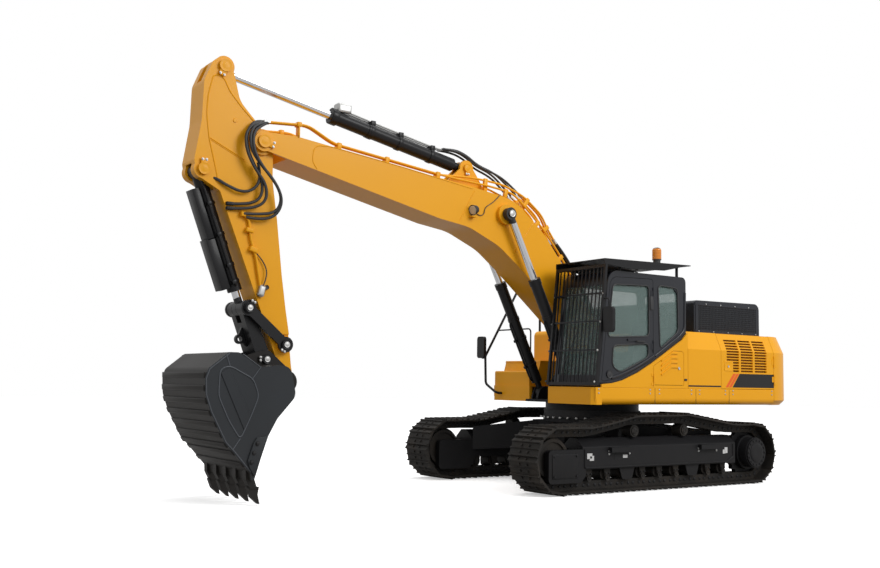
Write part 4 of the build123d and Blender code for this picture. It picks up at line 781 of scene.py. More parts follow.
def laid(points: Sequence[Point]) -> list[Vector]:
    """Places of points that are given from the slew axis."""
    return [at(*point) for point in points]


def facing(place: Vector, axis: Vector) -> Matrix:
    """Matrix that takes a part modelled upright at the origin to a place, its Z along an axis."""
    return Matrix.Translation(Vector(place)) @ Vector(axis).to_track_quat("Z", "Y").to_matrix().to_4x4()


def tilted(place: Vector, degrees: float) -> Matrix:
    """Matrix to a place, with the part's front end raised by an angle."""
    return Matrix.Translation(place) @ Matrix.Rotation(math.radians(-degrees), 4, "Y")


def lying(place: Vector, way: Vector, side: int = 1) -> Matrix:
    """Matrix that lays a part, modelled along X at the origin, along a way in an upright plane.

    Args:
        place: where its origin goes.
        way: the direction its X takes.
        side: 1 where its Z stands above a way that goes forward, -1 where it hangs below.

    Returns:
        The matrix.
    """
    over = Vector((-way.z, 0, way.x)) * side
    return Matrix.Translation(place) @ Matrix((way, over.cross(way), over)).transposed().to_4x4()


def hex_bolt(radius: float, high: float) -> Blank:
    """Bolt head with its washer, upright at the origin."""
    head = Blank.round((0, 0, 0), (0, 0, high), radius, 6)
    head.toward((0, 0, 1)).inset(radius * 0.12, radius * 0.08)
    bpy.ops.object.mode_set(mode="OBJECT")
    washer = Blank.round((0, 0, -0.001), (0, 0, high * 0.25), radius * 1.3, 14)
    return join([head, washer])


def bolts(name: str, body: str, places: Sequence[Matrix], radius: float = 0.014, high: float = 0.012,
          coat: Coat = Coat.ZINC) -> None:
    """Set like bolts at several places, as one piece."""
    finish(hex_bolt(radius, high).stamp(places), name, body, coat)


def ring_of(middle: Vector, axis: Vector, radius: float, count: int, start: float = 0.0) -> list[Matrix]:
    """Places on a circle.

    Args:
        middle: the circle's middle.
        axis: what each part faces.
        radius: the circle's radius.
        count: how many places.
        start: angle of the first in radians.

    Returns:
        One matrix a place.
    """
    base, out = facing(middle, axis), Matrix.Translation((radius, 0, 0))
    return [base @ Matrix.Rotation(start + math.tau * turn / count, 4, "Z") @ out for turn in range(count)]


@dataclass
class Studio:
    """Pale floor, soft lamps and the photograph's camera."""

    camera_at: Point = (9.4454, 11.8781, 1.4859)
    yaw: float = -2.1766
    pitch: float = 0.0966
    roll: float = 0.01665
    focal_px: float = 1005.25
    middle_px: tuple[float, float] = (444.81, 285.03)
    photo_px: tuple[int, int] = (880, 568)
    sensor_mm: float = 36.0
    world_light: float = 0.80
    floor_bounce: Colour = (0.22, 0.21, 0.20)
    floor_gloss: float = 0.30
    floor_tone: Colour = (0.98, 0.98, 0.98)
    floor_glow: float = 0.42
    floor_size: float = 120.0
    # lamps: name, place, size, watts
    lights: tuple[tuple[str, Point, float, float], ...] = (
        ("key", (-4.5, 15.0, 12.0), 8.0, 1760.0),
        ("top", (-1.0, -3.0, 14.0), 9.0, 560.0),
    )
    aimed_at: Point = (0.0, 0.0, 2.0)

    def floor(self) -> None:
        """Pale ground that takes the machine's shadow and throws back little light."""
        clear_bench()
        bpy.ops.mesh.primitive_plane_add(size=self.floor_size, location=(0, 0, CAD_BOX[0][2]))
        ground = bpy.context.object
        ground.name = "studio_floor"
        shader = Shader("studio_floor")
        seen = shader.node("ShaderNodeLightPath", output="Is Camera Ray")
        for ray, share in (("Is Glossy Ray", self.floor_gloss), ("Is Transmission Ray", 1.0)):
            seen = seen.math("MAXIMUM", shader.node("ShaderNodeLightPath", output=ray) * share)
        shader.material.cycles.emission_sampling = "NONE"
        shader.set({
            "Base Color": shader.mix(seen, self.floor_bounce, self.floor_tone),
            "Roughness": 0.9,
            "Specular IOR Level": 0.1,
            "Emission Color": (1.0, 1.0, 1.0, 1.0),
            "Emission Strength": seen * self.floor_glow,
        })
        ground.data.materials.append(shader.material)

    def world(self) -> None:
        """White surroundings to the eye, a plain soft light on the machine."""
        sky = Shader("studio", world=True)
        seen = sky.node("ShaderNodeLightPath", output="Is Camera Ray").math(
            "MAXIMUM", sky.node("ShaderNodeLightPath", output="Is Transmission Ray"))
        sky.set({"Color": (1.0, 1.0, 1.0, 1.0),
                 "Strength": self.world_light + seen * (1.0 - self.world_light)})
        bpy.context.scene.world = sky.material

    def lamps(self) -> None:
        """Soft key high on the machine's left, a weaker light from above."""
        for name, place, size, watts in self.lights:
            lamp = bpy.data.lights.new(name, "AREA")
            lamp.size = size
            lamp.energy = watts
            holder = bpy.data.objects.new(name, lamp)
            holder.location = place
            aim = Vector(self.aimed_at) - Vector(place)
            holder.rotation_euler = aim.to_track_quat("-Z", "Y").to_euler()
            bpy.context.scene.collection.objects.link(holder)

    def camera(self) -> None:
        """Camera with the photograph's place, aim and lens."""
        level = math.cos(self.pitch)
        forward = Vector((math.cos(self.yaw) * level, math.sin(self.yaw) * level, math.sin(self.pitch)))
        right = forward.cross(Vector((0, 0, 1))).normalized()
        up = right.cross(forward)
        turned = right * math.cos(self.roll) + up * math.sin(self.roll)
        up = up * math.cos(self.roll) - right * math.sin(self.roll)
        basis = Matrix((turned, up, -forward)).transposed().to_4x4()
        data = bpy.data.cameras.new("photo_view")
        data.sensor_width = self.sensor_mm
        data.lens = self.sensor_mm * self.focal_px / self.photo_px[0]
        data.shift_x = (self.photo_px[0] / 2 - self.middle_px[0]) / self.photo_px[0]
        data.shift_y = (self.middle_px[1] - self.photo_px[1] / 2) / self.photo_px[0]
        data.clip_end = 200.0
        holder = bpy.data.objects.new("photo_view", data)
        holder.matrix_world = Matrix.Translation(Vector(self.camera_at)) @ basis
        bpy.context.scene.collection.objects.link(holder)
        bpy.context.scene.camera = holder

    def build(self) -> None:
        """Set the whole studio."""
        self.floor()
        self.world()
        self.lamps()
        self.camera()
        bpy.context.scene.view_settings.view_transform = "Standard"


# Finish of every CAD node
NODE_COAT = {
    Coat.YELLOW: ["boom", "arm", "side_frames", "counterweight", "side_panels", "hood_top", "tanks",
                  "toolbox", "toolbox_lid", "louvre_door", "rear_door_left", "rear_door_right"],
    Coat.DARK: ["car_body", "track_frames", "upper_frame", "sprockets", "cab_floor"],
    Coat.BUCKET: ["bucket"],
    Coat.HOOD: ["engine_hood"],
    Coat.CYLINDER: ["boom_cylinder_barrel", "arm_cylinder_barrel", "bucket_cylinder_barrel", "rocker",
                    "bucket_link", "handrail", "front_guard", "top_guard"],
    Coat.CAB: ["cab_shell", "cab_roof", "cab_door"],
    Coat.TRACK: ["track_left", "track_right", "idlers", "rollers"],
    Coat.FORGED: ["slew_ring", "engine"],
    Coat.CHROME_BOOM: ["boom_cylinder_rod"],
    Coat.CHROME_ARM: ["arm_cylinder_rod"],
    Coat.CHROME_BUCKET: ["bucket_cylinder_rod"],
    Coat.GLASS: ["cab_glass", "door_glass"],
    Coat.PLASTIC: ["console"],
    Coat.CLOTH: ["seat"],
    Coat.BEACON: ["beacon"],
}


def dress_nodes() -> None:
    """Give every CAD node its finish."""
    for coat, names in NODE_COAT.items():
        for name in names:
            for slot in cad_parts[name].material_slots:
                slot.material = Workshop.coat(coat)


@dataclass
class Undercarriage:
    """Bolts and small plates of the tracks, their frames and the slew ring."""

    strip_area: tuple[float, float] = (0.015, 0.025)
    strip_wide: float = 0.5
    chain_y: float = 0.080
    link_in: float = 0.080
    link_out: float = 0.024
    frame_face: float = 0.205
    drive_face: float = 1.587
    axle_up: float = 0.470
    tumblers: float = 2.020
    ring_up: float = 0.968
    ring_radius: float = 0.80
    ring_count: int = 36
    rollers: int = 9
    roller_front: float = 1.410
    roller_pitch: float = 0.349
    roller_up: float = 0.196
    roller_face: float = 0.149
    carriers: tuple[float, float] = (0.520, -0.520)
    carrier_up: float = 0.838
    carrier_face: float = 0.150

    def shoe_bolts(self) -> None:
        """Two bolts on each flat strip of a shoe, and one on each link below them."""
        for hand, side in SIDES:
            mesh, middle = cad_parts[f"track_{side}"].data, hand * TRACK_Y
            found: dict[tuple, Matrix] = {}
            for face in mesh.polygons:
                if abs(face.normal.y) > 0.01 or not self.strip_area[0] < face.area < self.strip_area[1]:
                    continue
                corners = [mesh.vertices[index].co for index in face.vertices]
                low = Vector([min(corner[axis] for corner in corners) for axis in range(3)])
                high = Vector([max(corner[axis] for corner in corners) for axis in range(3)])
                if high.y - low.y < self.strip_wide:
                    continue
                centre = (low + high) / 2
                for strand in HANDS:
                    place = Vector((centre.x, middle + strand * self.chain_y, centre.z))
                    found[(round(place.x, 2), strand, round(place.z, 2))] = facing(place, face.normal)
            bolts(f"shoe_bolts_{side}", "undercarriage", list(found.values()), 0.017, 0.014, Coat.TRACK)
            links = []
            for place in found.values():
                inward = place.to_3x3() @ Vector((0, 0, -1))
                strand = 1 if place.translation.y > middle else -1
                spot = place.translation + inward * self.link_in
                spot.y = middle + strand * (self.chain_y + self.link_out)
                links.append(facing(spot, Vector((0, strand, 0))))
            bolts(f"link_bolts_{side}", "undercarriage", links, 0.020, 0.010, Coat.FORGED)

    def ring_bolts(self) -> None:
        """Bolt circle round the foot of the slew ring."""
        foot = ring_of(at(0, 0, self.ring_up), Vector((0, 0, 1)), self.ring_radius, self.ring_count)
        bolts("slew_ring_bolts", "undercarriage", foot, 0.019, 0.022)

    def drive_covers(self) -> None:
        """Raised rim, hub and bolt ring on each final drive's cover."""
        for hand, side in SIDES:
            axis = Vector((0, hand, 0))
            face = at(-self.tumblers, hand * self.drive_face, self.axle_up)
            disc = Blank.round(face - axis * 0.002, face + axis * 0.006, 0.150, 40)
            disc.toward(axis).inset(0.03, 0.008).inset(0.06, -0.004)
            finish(disc.soften(0.003), f"drive_cover_{side}", "undercarriage", Coat.DARK)
            rim = ring_of(face - axis * 0.002, axis, 0.188, 16)
            bolts(f"drive_bolts_{side}", "undercarriage", rim, 0.013, 0.012, Coat.DARK)

    def frame_plates(self) -> None:
        """Cover, bolts, flange, slot and blank plates on the outer face of each track frame."""
        # rows: forward, height, half width, half height
        tag_rows = [(1.440, 0.505, 0.048, 0.038), (1.400, 0.475, 0.040, 0.034), (0.760, 0.487, 0.044, 0.022),
                    (-1.400, 0.520, 0.032, 0.044), (-1.355, 0.500, 0.030, 0.030)]
        # along the frame's foot and up its rear end
        flange = eased([(1.53, 0.600), (1.53, 0.345), (-1.42, 0.345), (-1.56, 0.420), (-1.56, 0.615)],
                       0.03, False)
        for hand, side in SIDES:
            axis = Vector((0, hand, 0))
            face = hand * (TRACK_Y + self.frame_face)
            cover = Blank.box(at(1.66, face - hand * 0.002, 0.215), at(2.12, face + hand * 0.008, 0.545))
            cover.toward(axis).inset(0.02, 0.003)
            finish(cover.soften(0.004), f"idler_cover_{side}", "undercarriage", Coat.DARK)
            corners = [facing(at(x, face + hand * 0.008, z), axis)
                       for x in (1.69, 2.09) for z in (0.245, 0.515)]
            bolts(f"cover_bolts_{side}", "undercarriage", corners, 0.014, 0.012, Coat.DARK)
            steps = [facing(at(x, face, z), axis)
                     for x in (1.075, 0.675, -0.775, -1.175) for z in (0.565, 0.525)]
            bolts(f"step_bolts_{side}", "undercarriage", steps, 0.012, 0.011)
            finish(bead(flange, face, 0.016, 3), f"frame_flange_{side}", "undercarriage", Coat.DARK)
            # the slot's near-black inside is painted shade
            hole = Blank.box(at(0.835, face - hand * 0.002, 0.445), at(0.965, face + hand * 0.004, 0.525))
            hole.toward(axis).inset(0.008, -0.005)
            finish(hole.soften(0.001), f"frame_hole_{side}", "undercarriage", Coat.MESH)
            tags = []
            for x_at, z_at, half, high in tag_rows:
                tag = Blank.box(at(x_at - half, face - hand * 0.001, z_at - high),
                                at(x_at + half, face + hand * 0.0018, z_at + high))
                tags.append(tag.toward(axis).inset(0.006, -0.0005).soften(0.0008))
            finish(join(tags), f"blank_plates_{side}", "undercarriage", Coat.PLATE)

    def roller_ends(self) -> None:
        """Hub and bolts at the outer end of every track roller and carrier roller."""
        for hand, side in SIDES:
            axis = Vector((0, hand, 0))
            hubs, caps = [], []
            for step in range(self.rollers):
                base = at(self.roller_front - self.roller_pitch * step, hand * (TRACK_Y + self.roller_face),
                          self.roller_up)
                hub = Blank.round(base - axis * 0.004, base + axis * 0.020, 0.044, 24)
                hubs.append(hub.toward(axis).inset(0.010, -0.006).soften(0.003))
                caps += [facing(base + axis * 0.012 + Vector((shift, 0, 0.062)), axis)
                         for shift in (-0.034, 0.034)]
                caps.append(facing(base + axis * 0.012, axis))
            for x_at in self.carriers:
                base = at(x_at, hand * (TRACK_Y + self.carrier_face), self.carrier_up)
                hub = Blank.round(base - axis * 0.003, base + axis * 0.016, 0.062, 28)
                hubs.append(hub.toward(axis).inset(0.012, -0.008).inset(0.014, 0.007).soften(0.003))
                caps += [place @ Matrix.Translation((0, 0, 0.012)) for place in ring_of(base, axis, 0.030, 3)]
            finish(join(hubs), f"roller_hubs_{side}", "undercarriage", Coat.TRACK)
            bolts(f"roller_bolts_{side}", "undercarriage", caps, 0.010, 0.010, Coat.FORGED)

    def build(self) -> None:
        """Dress the undercarriage."""
        self.shoe_bolts()
        self.ring_bolts()
        self.drive_covers()
        self.frame_plates()
        self.roller_ends()


@dataclass
class Housing:
    """Stripe, grille backs, hood screens and small hardware of the upper structure."""

    stripe_z: tuple[float, float] = (1.482, 1.698)
    stripe_x: tuple[float, float] = (-2.583, -1.42)
    stripe_lean: float = 0.175
    stripe_proud: float = 0.0016
    stripe_thick: float = 0.0014
    hood_x: tuple[float, float] = (-2.55, -0.98)
    hood_y: tuple[float, float] = (-1.0, 1.25)
    hood_z: tuple[float, float] = (2.3203, 2.83)
    grid_margin: float = 0.09
    grid_rows: int = 13
    grid_columns: int = 41
    wire_half: float = 0.0035
    rail_bolts: int = 9

    def flat(self, corners: Sequence[tuple[float, float]]) -> Blank:
        """Thin painted shape on the left side, from the forward and up of its corners."""
        shape = Blank.outline([at(x, SIDE_Y + self.stripe_proud, z) for x, z in corners])
        return shape.thicken(Vector((0, -self.stripe_thick, 0))).soften(0.0004, 1)

    def stripe(self) -> None:
        """Black band low on the left rear door, two slanted bars at its front end, a line ahead of it."""
        low, high = self.stripe_z
        rear, front = self.stripe_x
        lean = self.stripe_lean
        # rows: name, its front end at the foot and at the top, its rear end at both, finish
        rows = [
            ("stripe_band", front - 0.150, front - 0.150 - lean, rear, rear, Coat.STRIPE),
            ("stripe_bar_front", front + 0.012, front - lean, front - 0.050, front - 0.062 - lean,
             Coat.CHEVRON),
            ("stripe_bar_rear", front - 0.064, front - 0.076 - lean, front - 0.128, front - 0.140 - lean,
             Coat.CHEVRON),
        ]
        for name, low_front, high_front, low_rear, high_rear, coat in rows:
            corners = [(low_rear, low), (low_front, low), (high_front, high), (high_rear, high)]
            finish(self.flat(corners), name, "rear_door_left", coat)
        foot = [(-1.300, 1.484), (-0.566, 1.484), (-0.566, 1.506), (-1.300, 1.506)]
        finish(self.flat(foot), "stripe_foot", "upper", Coat.STRIPE)

    def slat_shade_sheets(self) -> None:
        """Amber sheet behind the slots of both rear doors: painted shade standing in for the shaded yellow
        undersides of the slats.
        """
        # rows: forward, up, depth below the side's face
        rows = [(-2.45, 1.70, 0.040), (-2.45, 2.05, 0.040), (-2.45, 2.26, 0.128), (-1.40, 2.26, 0.128),
                (-1.40, 2.05, 0.040), (-1.40, 1.70, 0.040)]
        for hand, side in SIDES:
            halves = [Blank.outline([at(x, hand * (SIDE_Y - inset), z) for x, z, inset in part])
                      .thicken(Vector((0, -hand * 0.004, 0)))
                      for part in (rows[1:5], (rows[0], rows[1], rows[4], rows[5]))]
            finish(join(halves), f"grille_back_{side}", f"rear_door_{side}", Coat.AMBER_MESH)

    def hood_screen(self) -> None:
        """Welded grid, the near-black painted shade behind it, frame and bolts over the sides of the raised
        engine hood.
        """
        (rear, front), (right, left), (low, high) = self.hood_x, self.hood_y, self.hood_z
        half, margin = self.wire_half, self.grid_margin
        grid, backs, rails, places = [], [], [], []
        for wall, out in ((left, 1), (right, -1)):
            face = wall + out * 0.003
            for row in range(self.grid_rows):
                up = low + 0.06 + row * (high - low - 0.13) / (self.grid_rows - 1)
                grid.append(Blank.box(at(rear + margin, face - 0.003, up - half),
                                      at(front - margin, face + 0.004, up + half)))
            for column in range(self.grid_columns):
                along = rear + margin + column * (front - rear - 2 * margin) / (self.grid_columns - 1)
                grid.append(Blank.box(at(along - half, face - 0.003, low + 0.05),
                                      at(along + half, face + 0.003, high - 0.06)))
            # a near-black sheet of painted shade behind the grid
            backs.append(Blank.box(at(rear + 0.05, wall - 0.0005, low + 0.03),
                                   at(front - 0.05, wall + out * 0.0015, high - 0.05)))
            for z_low, z_high in ((low + 0.005, low + 0.05), (high - 0.075, high - 0.03)):
                rails.append(Blank.box(at(rear + 0.02, wall - out * 0.002, z_low),
                                       at(front - 0.02, wall + out * 0.010, z_high)))
                pitch = (front - rear - 0.2) / (self.rail_bolts - 1)
                places += [facing(at(rear + 0.1 + step * pitch, wall + out * 0.010, (z_low + z_high) / 2),
                                  Vector((0, out, 0))) for step in range(self.rail_bolts)]
            for x_low in (rear + 0.03, front - 0.09):
                rails.append(Blank.box(at(x_low, wall - out * 0.002, low + 0.05),
                                       at(x_low + 0.06, wall + out * 0.009, high - 0.075)))
        finish(join(grid), "hood_screen", "engine_hood", Coat.HOOD)
        finish(join(backs), "hood_screen_shade_sheet", "engine_hood", Coat.MESH)
        finish(join(rails).soften(0.002, 1), "hood_frame", "engine_hood", Coat.HOOD)
        bolts("hood_bolts", "engine_hood", places[::2], 0.009, 0.008)

    def hood_pipes(self) -> None:
        """Two rubber pipes from the deck into the front of the raised hood."""
        pipes = []
        for left, up in ((0.95, 2.66), (0.72, 2.56)):
            run = eased([(-0.70, left, 2.335), (-0.70, left, up), (-0.95, left, up)], 0.09, False)
            pipes.append(tube(laid(run), 0.030, 6, True))
        finish(join(pipes), "hood_pipes", "upper", Coat.RUBBER)

    def tail_hardware(self) -> None:
        """Two lifting eyes and a rear camera on the counterweight."""
        eyes = []
        for left in (0.62, -0.62):
            bow = [(-3.02, left + out, up)
                   for out, up in ((-0.055, 2.316), (-0.055, 2.395), (0.055, 2.395), (0.055, 2.316))]
            eyes.append(tube(laid(eased(bow, 0.05, False)), 0.018, 4, True))
        finish(join(eyes), "tail_eyes", "upper", Coat.YELLOW)
        camera = Blank.box(at(-3.20, -0.05, 2.317), at(-3.12, 0.05, 2.390))
        camera.toward((-1, 0, 0)).inset(0.012, -0.012)
        finish(camera.soften(0.006), "tail_camera", "upper", Coat.PLASTIC)

    def panel_hardware(self) -> None:
        """Locks and latches of the doors, skirt bolts and the seams between the skirt's plates."""
        handle = Blank.round(at(-0.358, SIDE_Y - 0.002, 1.752), at(-0.358, SIDE_Y + 0.010, 1.752), 0.022, 24)
        handle.toward((0, 1, 0)).inset(0.006, 0.004).inset(0.006, -0.005)
        finish(handle.soften(0.002), "louvre_lock", "louvre_door", Coat.ZINC)
        latch = Blank.box(at(-0.530, SIDE_Y - 0.002, 1.570), at(-0.475, SIDE_Y + 0.010, 1.600))
        latch.toward((0, 1, 0)).inset(0.006, 0.005)
        finish(latch.soften(0.002), "panel_latch", "upper", Coat.PLASTIC)
        for hand, side in SIDES:
            face = hand * SIDE_Y
            pressed = Blank.box(at(-1.580, face - 0.005, 1.735), at(-1.385, face + 0.005, 1.885))
            pressed.toward((0, hand, 0)).inset(0.012).inset(0.010, -0.0045)
            finish(pressed.soften(0.002), f"lock_recess_{side}", f"rear_door_{side}", Coat.YELLOW)
            lock = Blank.round(at(-1.475, face, 1.808), at(-1.475, face + hand * 0.010, 1.808), 0.017, 24)
            lock.toward((0, hand, 0)).inset(0.005, -0.004)
            finish(lock.soften(0.0015), f"rear_door_lock_{side}", f"rear_door_{side}", Coat.ZINC)
        # the right side has no skirt further ahead than this
        skirt_end = 0.8
        places = [facing(at(x, hand * SIDE_Y, z), Vector((0, hand, 0)))
                  for x in (1.27, 0.25, 0.06, -0.63, -0.81, -1.40, -1.58, -2.53)
                  for z in (1.430, 1.375) for hand in HANDS if hand > 0 or x < skirt_end]
        bolts("skirt_bolts", "upper", places, 0.010, 0.008)
        seams = [Blank.box(at(x - 0.003, hand * SIDE_Y - 0.0012, 1.222),
                           at(x + 0.003, hand * SIDE_Y + 0.0012, 1.448))
                 for x in (0.15, -0.73, -1.49) for hand in HANDS]
        finish(join(seams), "skirt_seams", "upper", Coat.MESH)

    def build(self) -> None:
        """Dress the upper structure."""
        self.stripe()
        self.tail_hardware()
        self.slat_shade_sheets()
        self.hood_screen()
        self.hood_pipes()
        self.panel_hardware()


@dataclass
class Front:
    """Pins, weld beads, lamp, lines and hoses of the boom and arm."""

    hose_r: float = 0.019
    bend_hose_r: float = 0.016
    line_r: float = 0.016
    union_r: float = 0.024
    union_length: float = 0.06
    bead_r: float = 0.007

    def pin_cap(self, name: str, body: str, pin: tuple[float, float], face: float, radius: float,
                turn: float, coat: Coat) -> None:
        """Pin's head on both sides, with its keeper plate and two bolts.

        Args:
            name: the piece's name.
            body: the body it moves with.
            pin: forward and up of the pin.
            face: distance of the carrying face from the machine's middle.
            radius: radius of the pin's head.
            turn: direction of the keeper plate, in degrees from forward.
            coat: finish of the head.
        """
        parts, places, hearts = [], [], []
        way = Vector((math.cos(math.radians(turn)), 0, math.sin(math.radians(turn))))
        across = Vector((-way.z, 0, way.x))
        reach, half = radius * 1.75, radius * 0.55
        for hand in HANDS:
            axis = Vector((0, hand, 0))
            base = pin_at(pin, hand * face)
            if coat is not Coat.YELLOW:
                heart = Blank.round(base, base + axis * 0.030, radius * 0.62, 28)
                heart.toward(axis).inset(radius * 0.16, -0.003).inset(radius * 0.16, 0.003)
                hearts.append(heart.soften(0.002))
            head = Blank.round(base - axis * 0.004, base + axis * 0.024, radius, 32)
            head.toward(axis).inset(radius * 0.22, -0.005).inset(radius * 0.30, 0.004)
            parts.append(head.soften(0.003))
            corners = [base + across * half, base - across * half, base + way * reach - across * half,
                       base + way * reach + across * half]
            parts.append(Blank.outline(corners).thicken(axis * 0.014).soften(0.003))
            places += [facing(base + way * reach * 0.86 + across * half * sign * 0.6 + axis * 0.014, axis)
                       for sign in HANDS]
        finish(join(parts), name, body, coat)
        if hearts:
            finish(join(hearts), f"{name}_middle", body, Coat.ZINC)
        bolts(f"{name}_bolts", body, places, 0.013, 0.012)

    def pins(self) -> None:
        """Heads of all the pins of the front."""
        # rows: name, body, pin, carrying face, radius, direction of the keeper plate, finish
        rows = [
            ("boom_end_pin", "boom", BOOM_END, 0.310, 0.085, 195, Coat.YELLOW),
            ("arm_cylinder_pin", "arm", ARM_ROD_EYE, 0.230, 0.080, -70, Coat.YELLOW),
            ("bucket_cylinder_foot_pin", "arm", BUCKET_CYLINDER_FOOT, 0.230, 0.075, 90, Coat.YELLOW),
            ("rocker_pin_head", "arm", ROCKER_PIN, 0.274, 0.062, -60, Coat.CYLINDER),
            ("link_pin_head", "rocker", BUCKET_ROD_EYE, 0.283, 0.060, 120, Coat.CYLINDER),
            ("bucket_pin_head", "bucket", BUCKET_PIN, 0.258, 0.060, 45, Coat.CYLINDER),
            ("bucket_link_pin_head", "bucket", BUCKET_LINK_PIN, 0.258, 0.060, 0, Coat.CYLINDER),
            ("lug_pin_head", "boom", ARM_CYLINDER_FOOT, 0.118, 0.060, -90, Coat.YELLOW),
        ]
        for row in rows:
            self.pin_cap(*row)
        stubs = []
        for hand in HANDS:
            axis = Vector((0, hand, 0))
            base = pin_at(BOOM_ROD_EYE, hand * (BOOM_CYLINDER_Y + 0.050))
            stub = Blank.round(base, base + axis * 0.026, 0.052, 32)
            stubs.append(stub.toward(axis).inset(0.012, -0.004).inset(0.010, 0.004).soften(0.003))
        finish(join(stubs), "boom_rod_pin_ends", "boom", Coat.ZINC)

    def beads(self) -> None:
        """Weld beads on the sides of the boom and the arm, and a boss on the arm."""
        field = eased([(2.62, 4.285), (3.83, 4.440), (4.95, 4.560), (5.19, 4.540), (5.22, 4.330),
                       (5.14, 4.232)], 0.09, False)
        lines = ([(2.58, 4.27), (2.84, 3.80)], [(1.48, 3.90), (1.84, 3.42)], field)
        runs = [bead(line, hand * BOOM_HALF, self.bead_r) for hand in HANDS for line in lines]
        finish(join(runs), "boom_beads", "boom", Coat.YELLOW)
        border = eased([(5.99, 4.72), (6.18, 4.89), (6.35, 5.07), (6.44, 5.24), (6.57, 5.25), (6.63, 4.99),
                        (6.64, 4.75), (6.60, 4.45), (6.51, 4.12), (6.455, 3.90)], 0.06, False)
        # rows: line, half its thickness
        rows = [(border, 0.009), ([(6.60, 4.45), (6.12, 4.23)], 0.008),
                ([(6.575, 4.42), (6.11, 4.205)], 0.006)]
        runs = []
        for hand in HANDS:
            runs += [bead(line, hand * ARM_HALF, radius) for line, radius in rows]
            boss = at(6.27, hand * ARM_HALF, 4.71)
            runs.append(Blank.round(boss, boss + Vector((0, hand * 0.010, 0)), 0.028, 20, 0.022))
        finish(join(runs), "arm_beads", "arm", Coat.YELLOW)

    def boom_lines(self) -> None:
        """Steel lines over the boom's knee and along its top, with their stands and unions."""
        # routes: forward, up, offset outwards
        ahead = [(3.200, 4.433, 0.0), (4.880, 4.620, 0.0), (5.290, 4.790, 0.046), (5.850, 4.745, 0.046)]
        low = [(0.660, 3.160, 0.0), (0.880, 3.440, 0.0), (1.200, 3.800, 0.0), (1.500, 4.060, 0.0),
               (1.800, 4.295, 0.0), (1.970, 4.340, 0.0), (2.300, 4.375, 0.0), (2.850, 4.405, 0.0)]
        high = [(0.980, 3.690, 0.0), (1.130, 3.880, 0.0), (1.240, 4.060, 0.0), (1.440, 4.205, 0.0),
                (1.600, 4.310, 0.0), (1.840, 4.390, 0.0), (2.020, 4.440, 0.0), (2.320, 4.460, 0.0),
                (2.590, 4.470, 0.0)]
        # rows: left, route
        lines = [(0.238, low + ahead), (0.192, high + ahead), (0.140, high[:5]), (0.060, high[:5])]
        # rows: forward, up, slope in degrees, its two sides, reach down to the boom
        stands = [(0.880, 3.440, 50, 0.215, 0.262, 0.090), (1.350, 3.930, 43, 0.215, 0.262, 0.095),
                  (1.970, 4.340, 12, 0.215, 0.262, 0.100), (1.130, 3.880, 53, 0.035, 0.216, 0.190),
                  (1.520, 4.258, 35, 0.035, 0.216, 0.250), (2.320, 4.460, 3, 0.168, 0.216, 0.180),
                  (3.200, 4.433, 6, 0.165, 0.265, 0.060), (4.050, 4.527, 6, 0.165, 0.265, 0.060),
                  (4.800, 4.611, 6, 0.165, 0.265, 0.060), (5.420, 4.783, 0, 0.212, 0.312, 0.030)]
        runs, clamps, unions = [], [], []
        for hand in HANDS:
            for left, route in lines:
                spots = eased([(x, hand * (left + out), z) for x, z, out in route], 0.10, False)
                runs.append(tube(laid(spots), self.line_r, 4, True))
                for (x_at, z_at, out), (x_in, z_in, _) in ((route[0], route[1]), (route[-1], route[-2])):
                    end = at(x_at, hand * (left + out), z_at)
                    away = (end - at(x_in, hand * (left + out), z_in)).normalized() * self.union_length
                    unions.append(Blank.round(end - away * 0.4, end + away, self.union_r, 6))
            for x_at, z_at, slope, inner, outer, down in stands:
                stand = Blank.box((-0.030, min(hand * inner, hand * outer), -down),
                                  (0.030, max(hand * inner, hand * outer), 0.026))
                stand.toward((0, 0, 1)).inset(0.012, 0.005)
                clamps.append(stand.soften(0.004).stamp([tilted(at(x_at, 0, z_at), slope)]))
            # bracket that carries the last stand
            foot = at(5.42, hand * 0.261, 4.70)
            clamps.append(Blank.box(foot - Vector((0.010, 0.045, 0.080)),
                                    foot + Vector((0.010, 0.045, 0.060))).soften(0.003))
            clamps.append(Blank.box(at(5.41, hand * 0.150 - 0.02, 4.610),
                                    at(5.43, hand * 0.306, 4.632)).soften(0.003))
        finish(join(runs), "boom_lines", "boom", Coat.YELLOW)
        finish(join(clamps), "boom_line_clamps", "boom", Coat.YELLOW)
        finish(join(unions), "boom_line_unions", "boom", Coat.ZINC)

    def arm_lines(self) -> None:
        """Steel line down the arm's left side, with its clamps, valve, small hose and sockets."""
        spots = eased([(6.140, 3.540), (6.050, 3.480), (6.010, 3.220), (5.935, 3.010), (5.862, 2.640)],
                      0.05, False)
        finish(bead(spots, 0.240, 0.017, 4), "arm_line", "arm", Coat.YELLOW)
        blocks = []
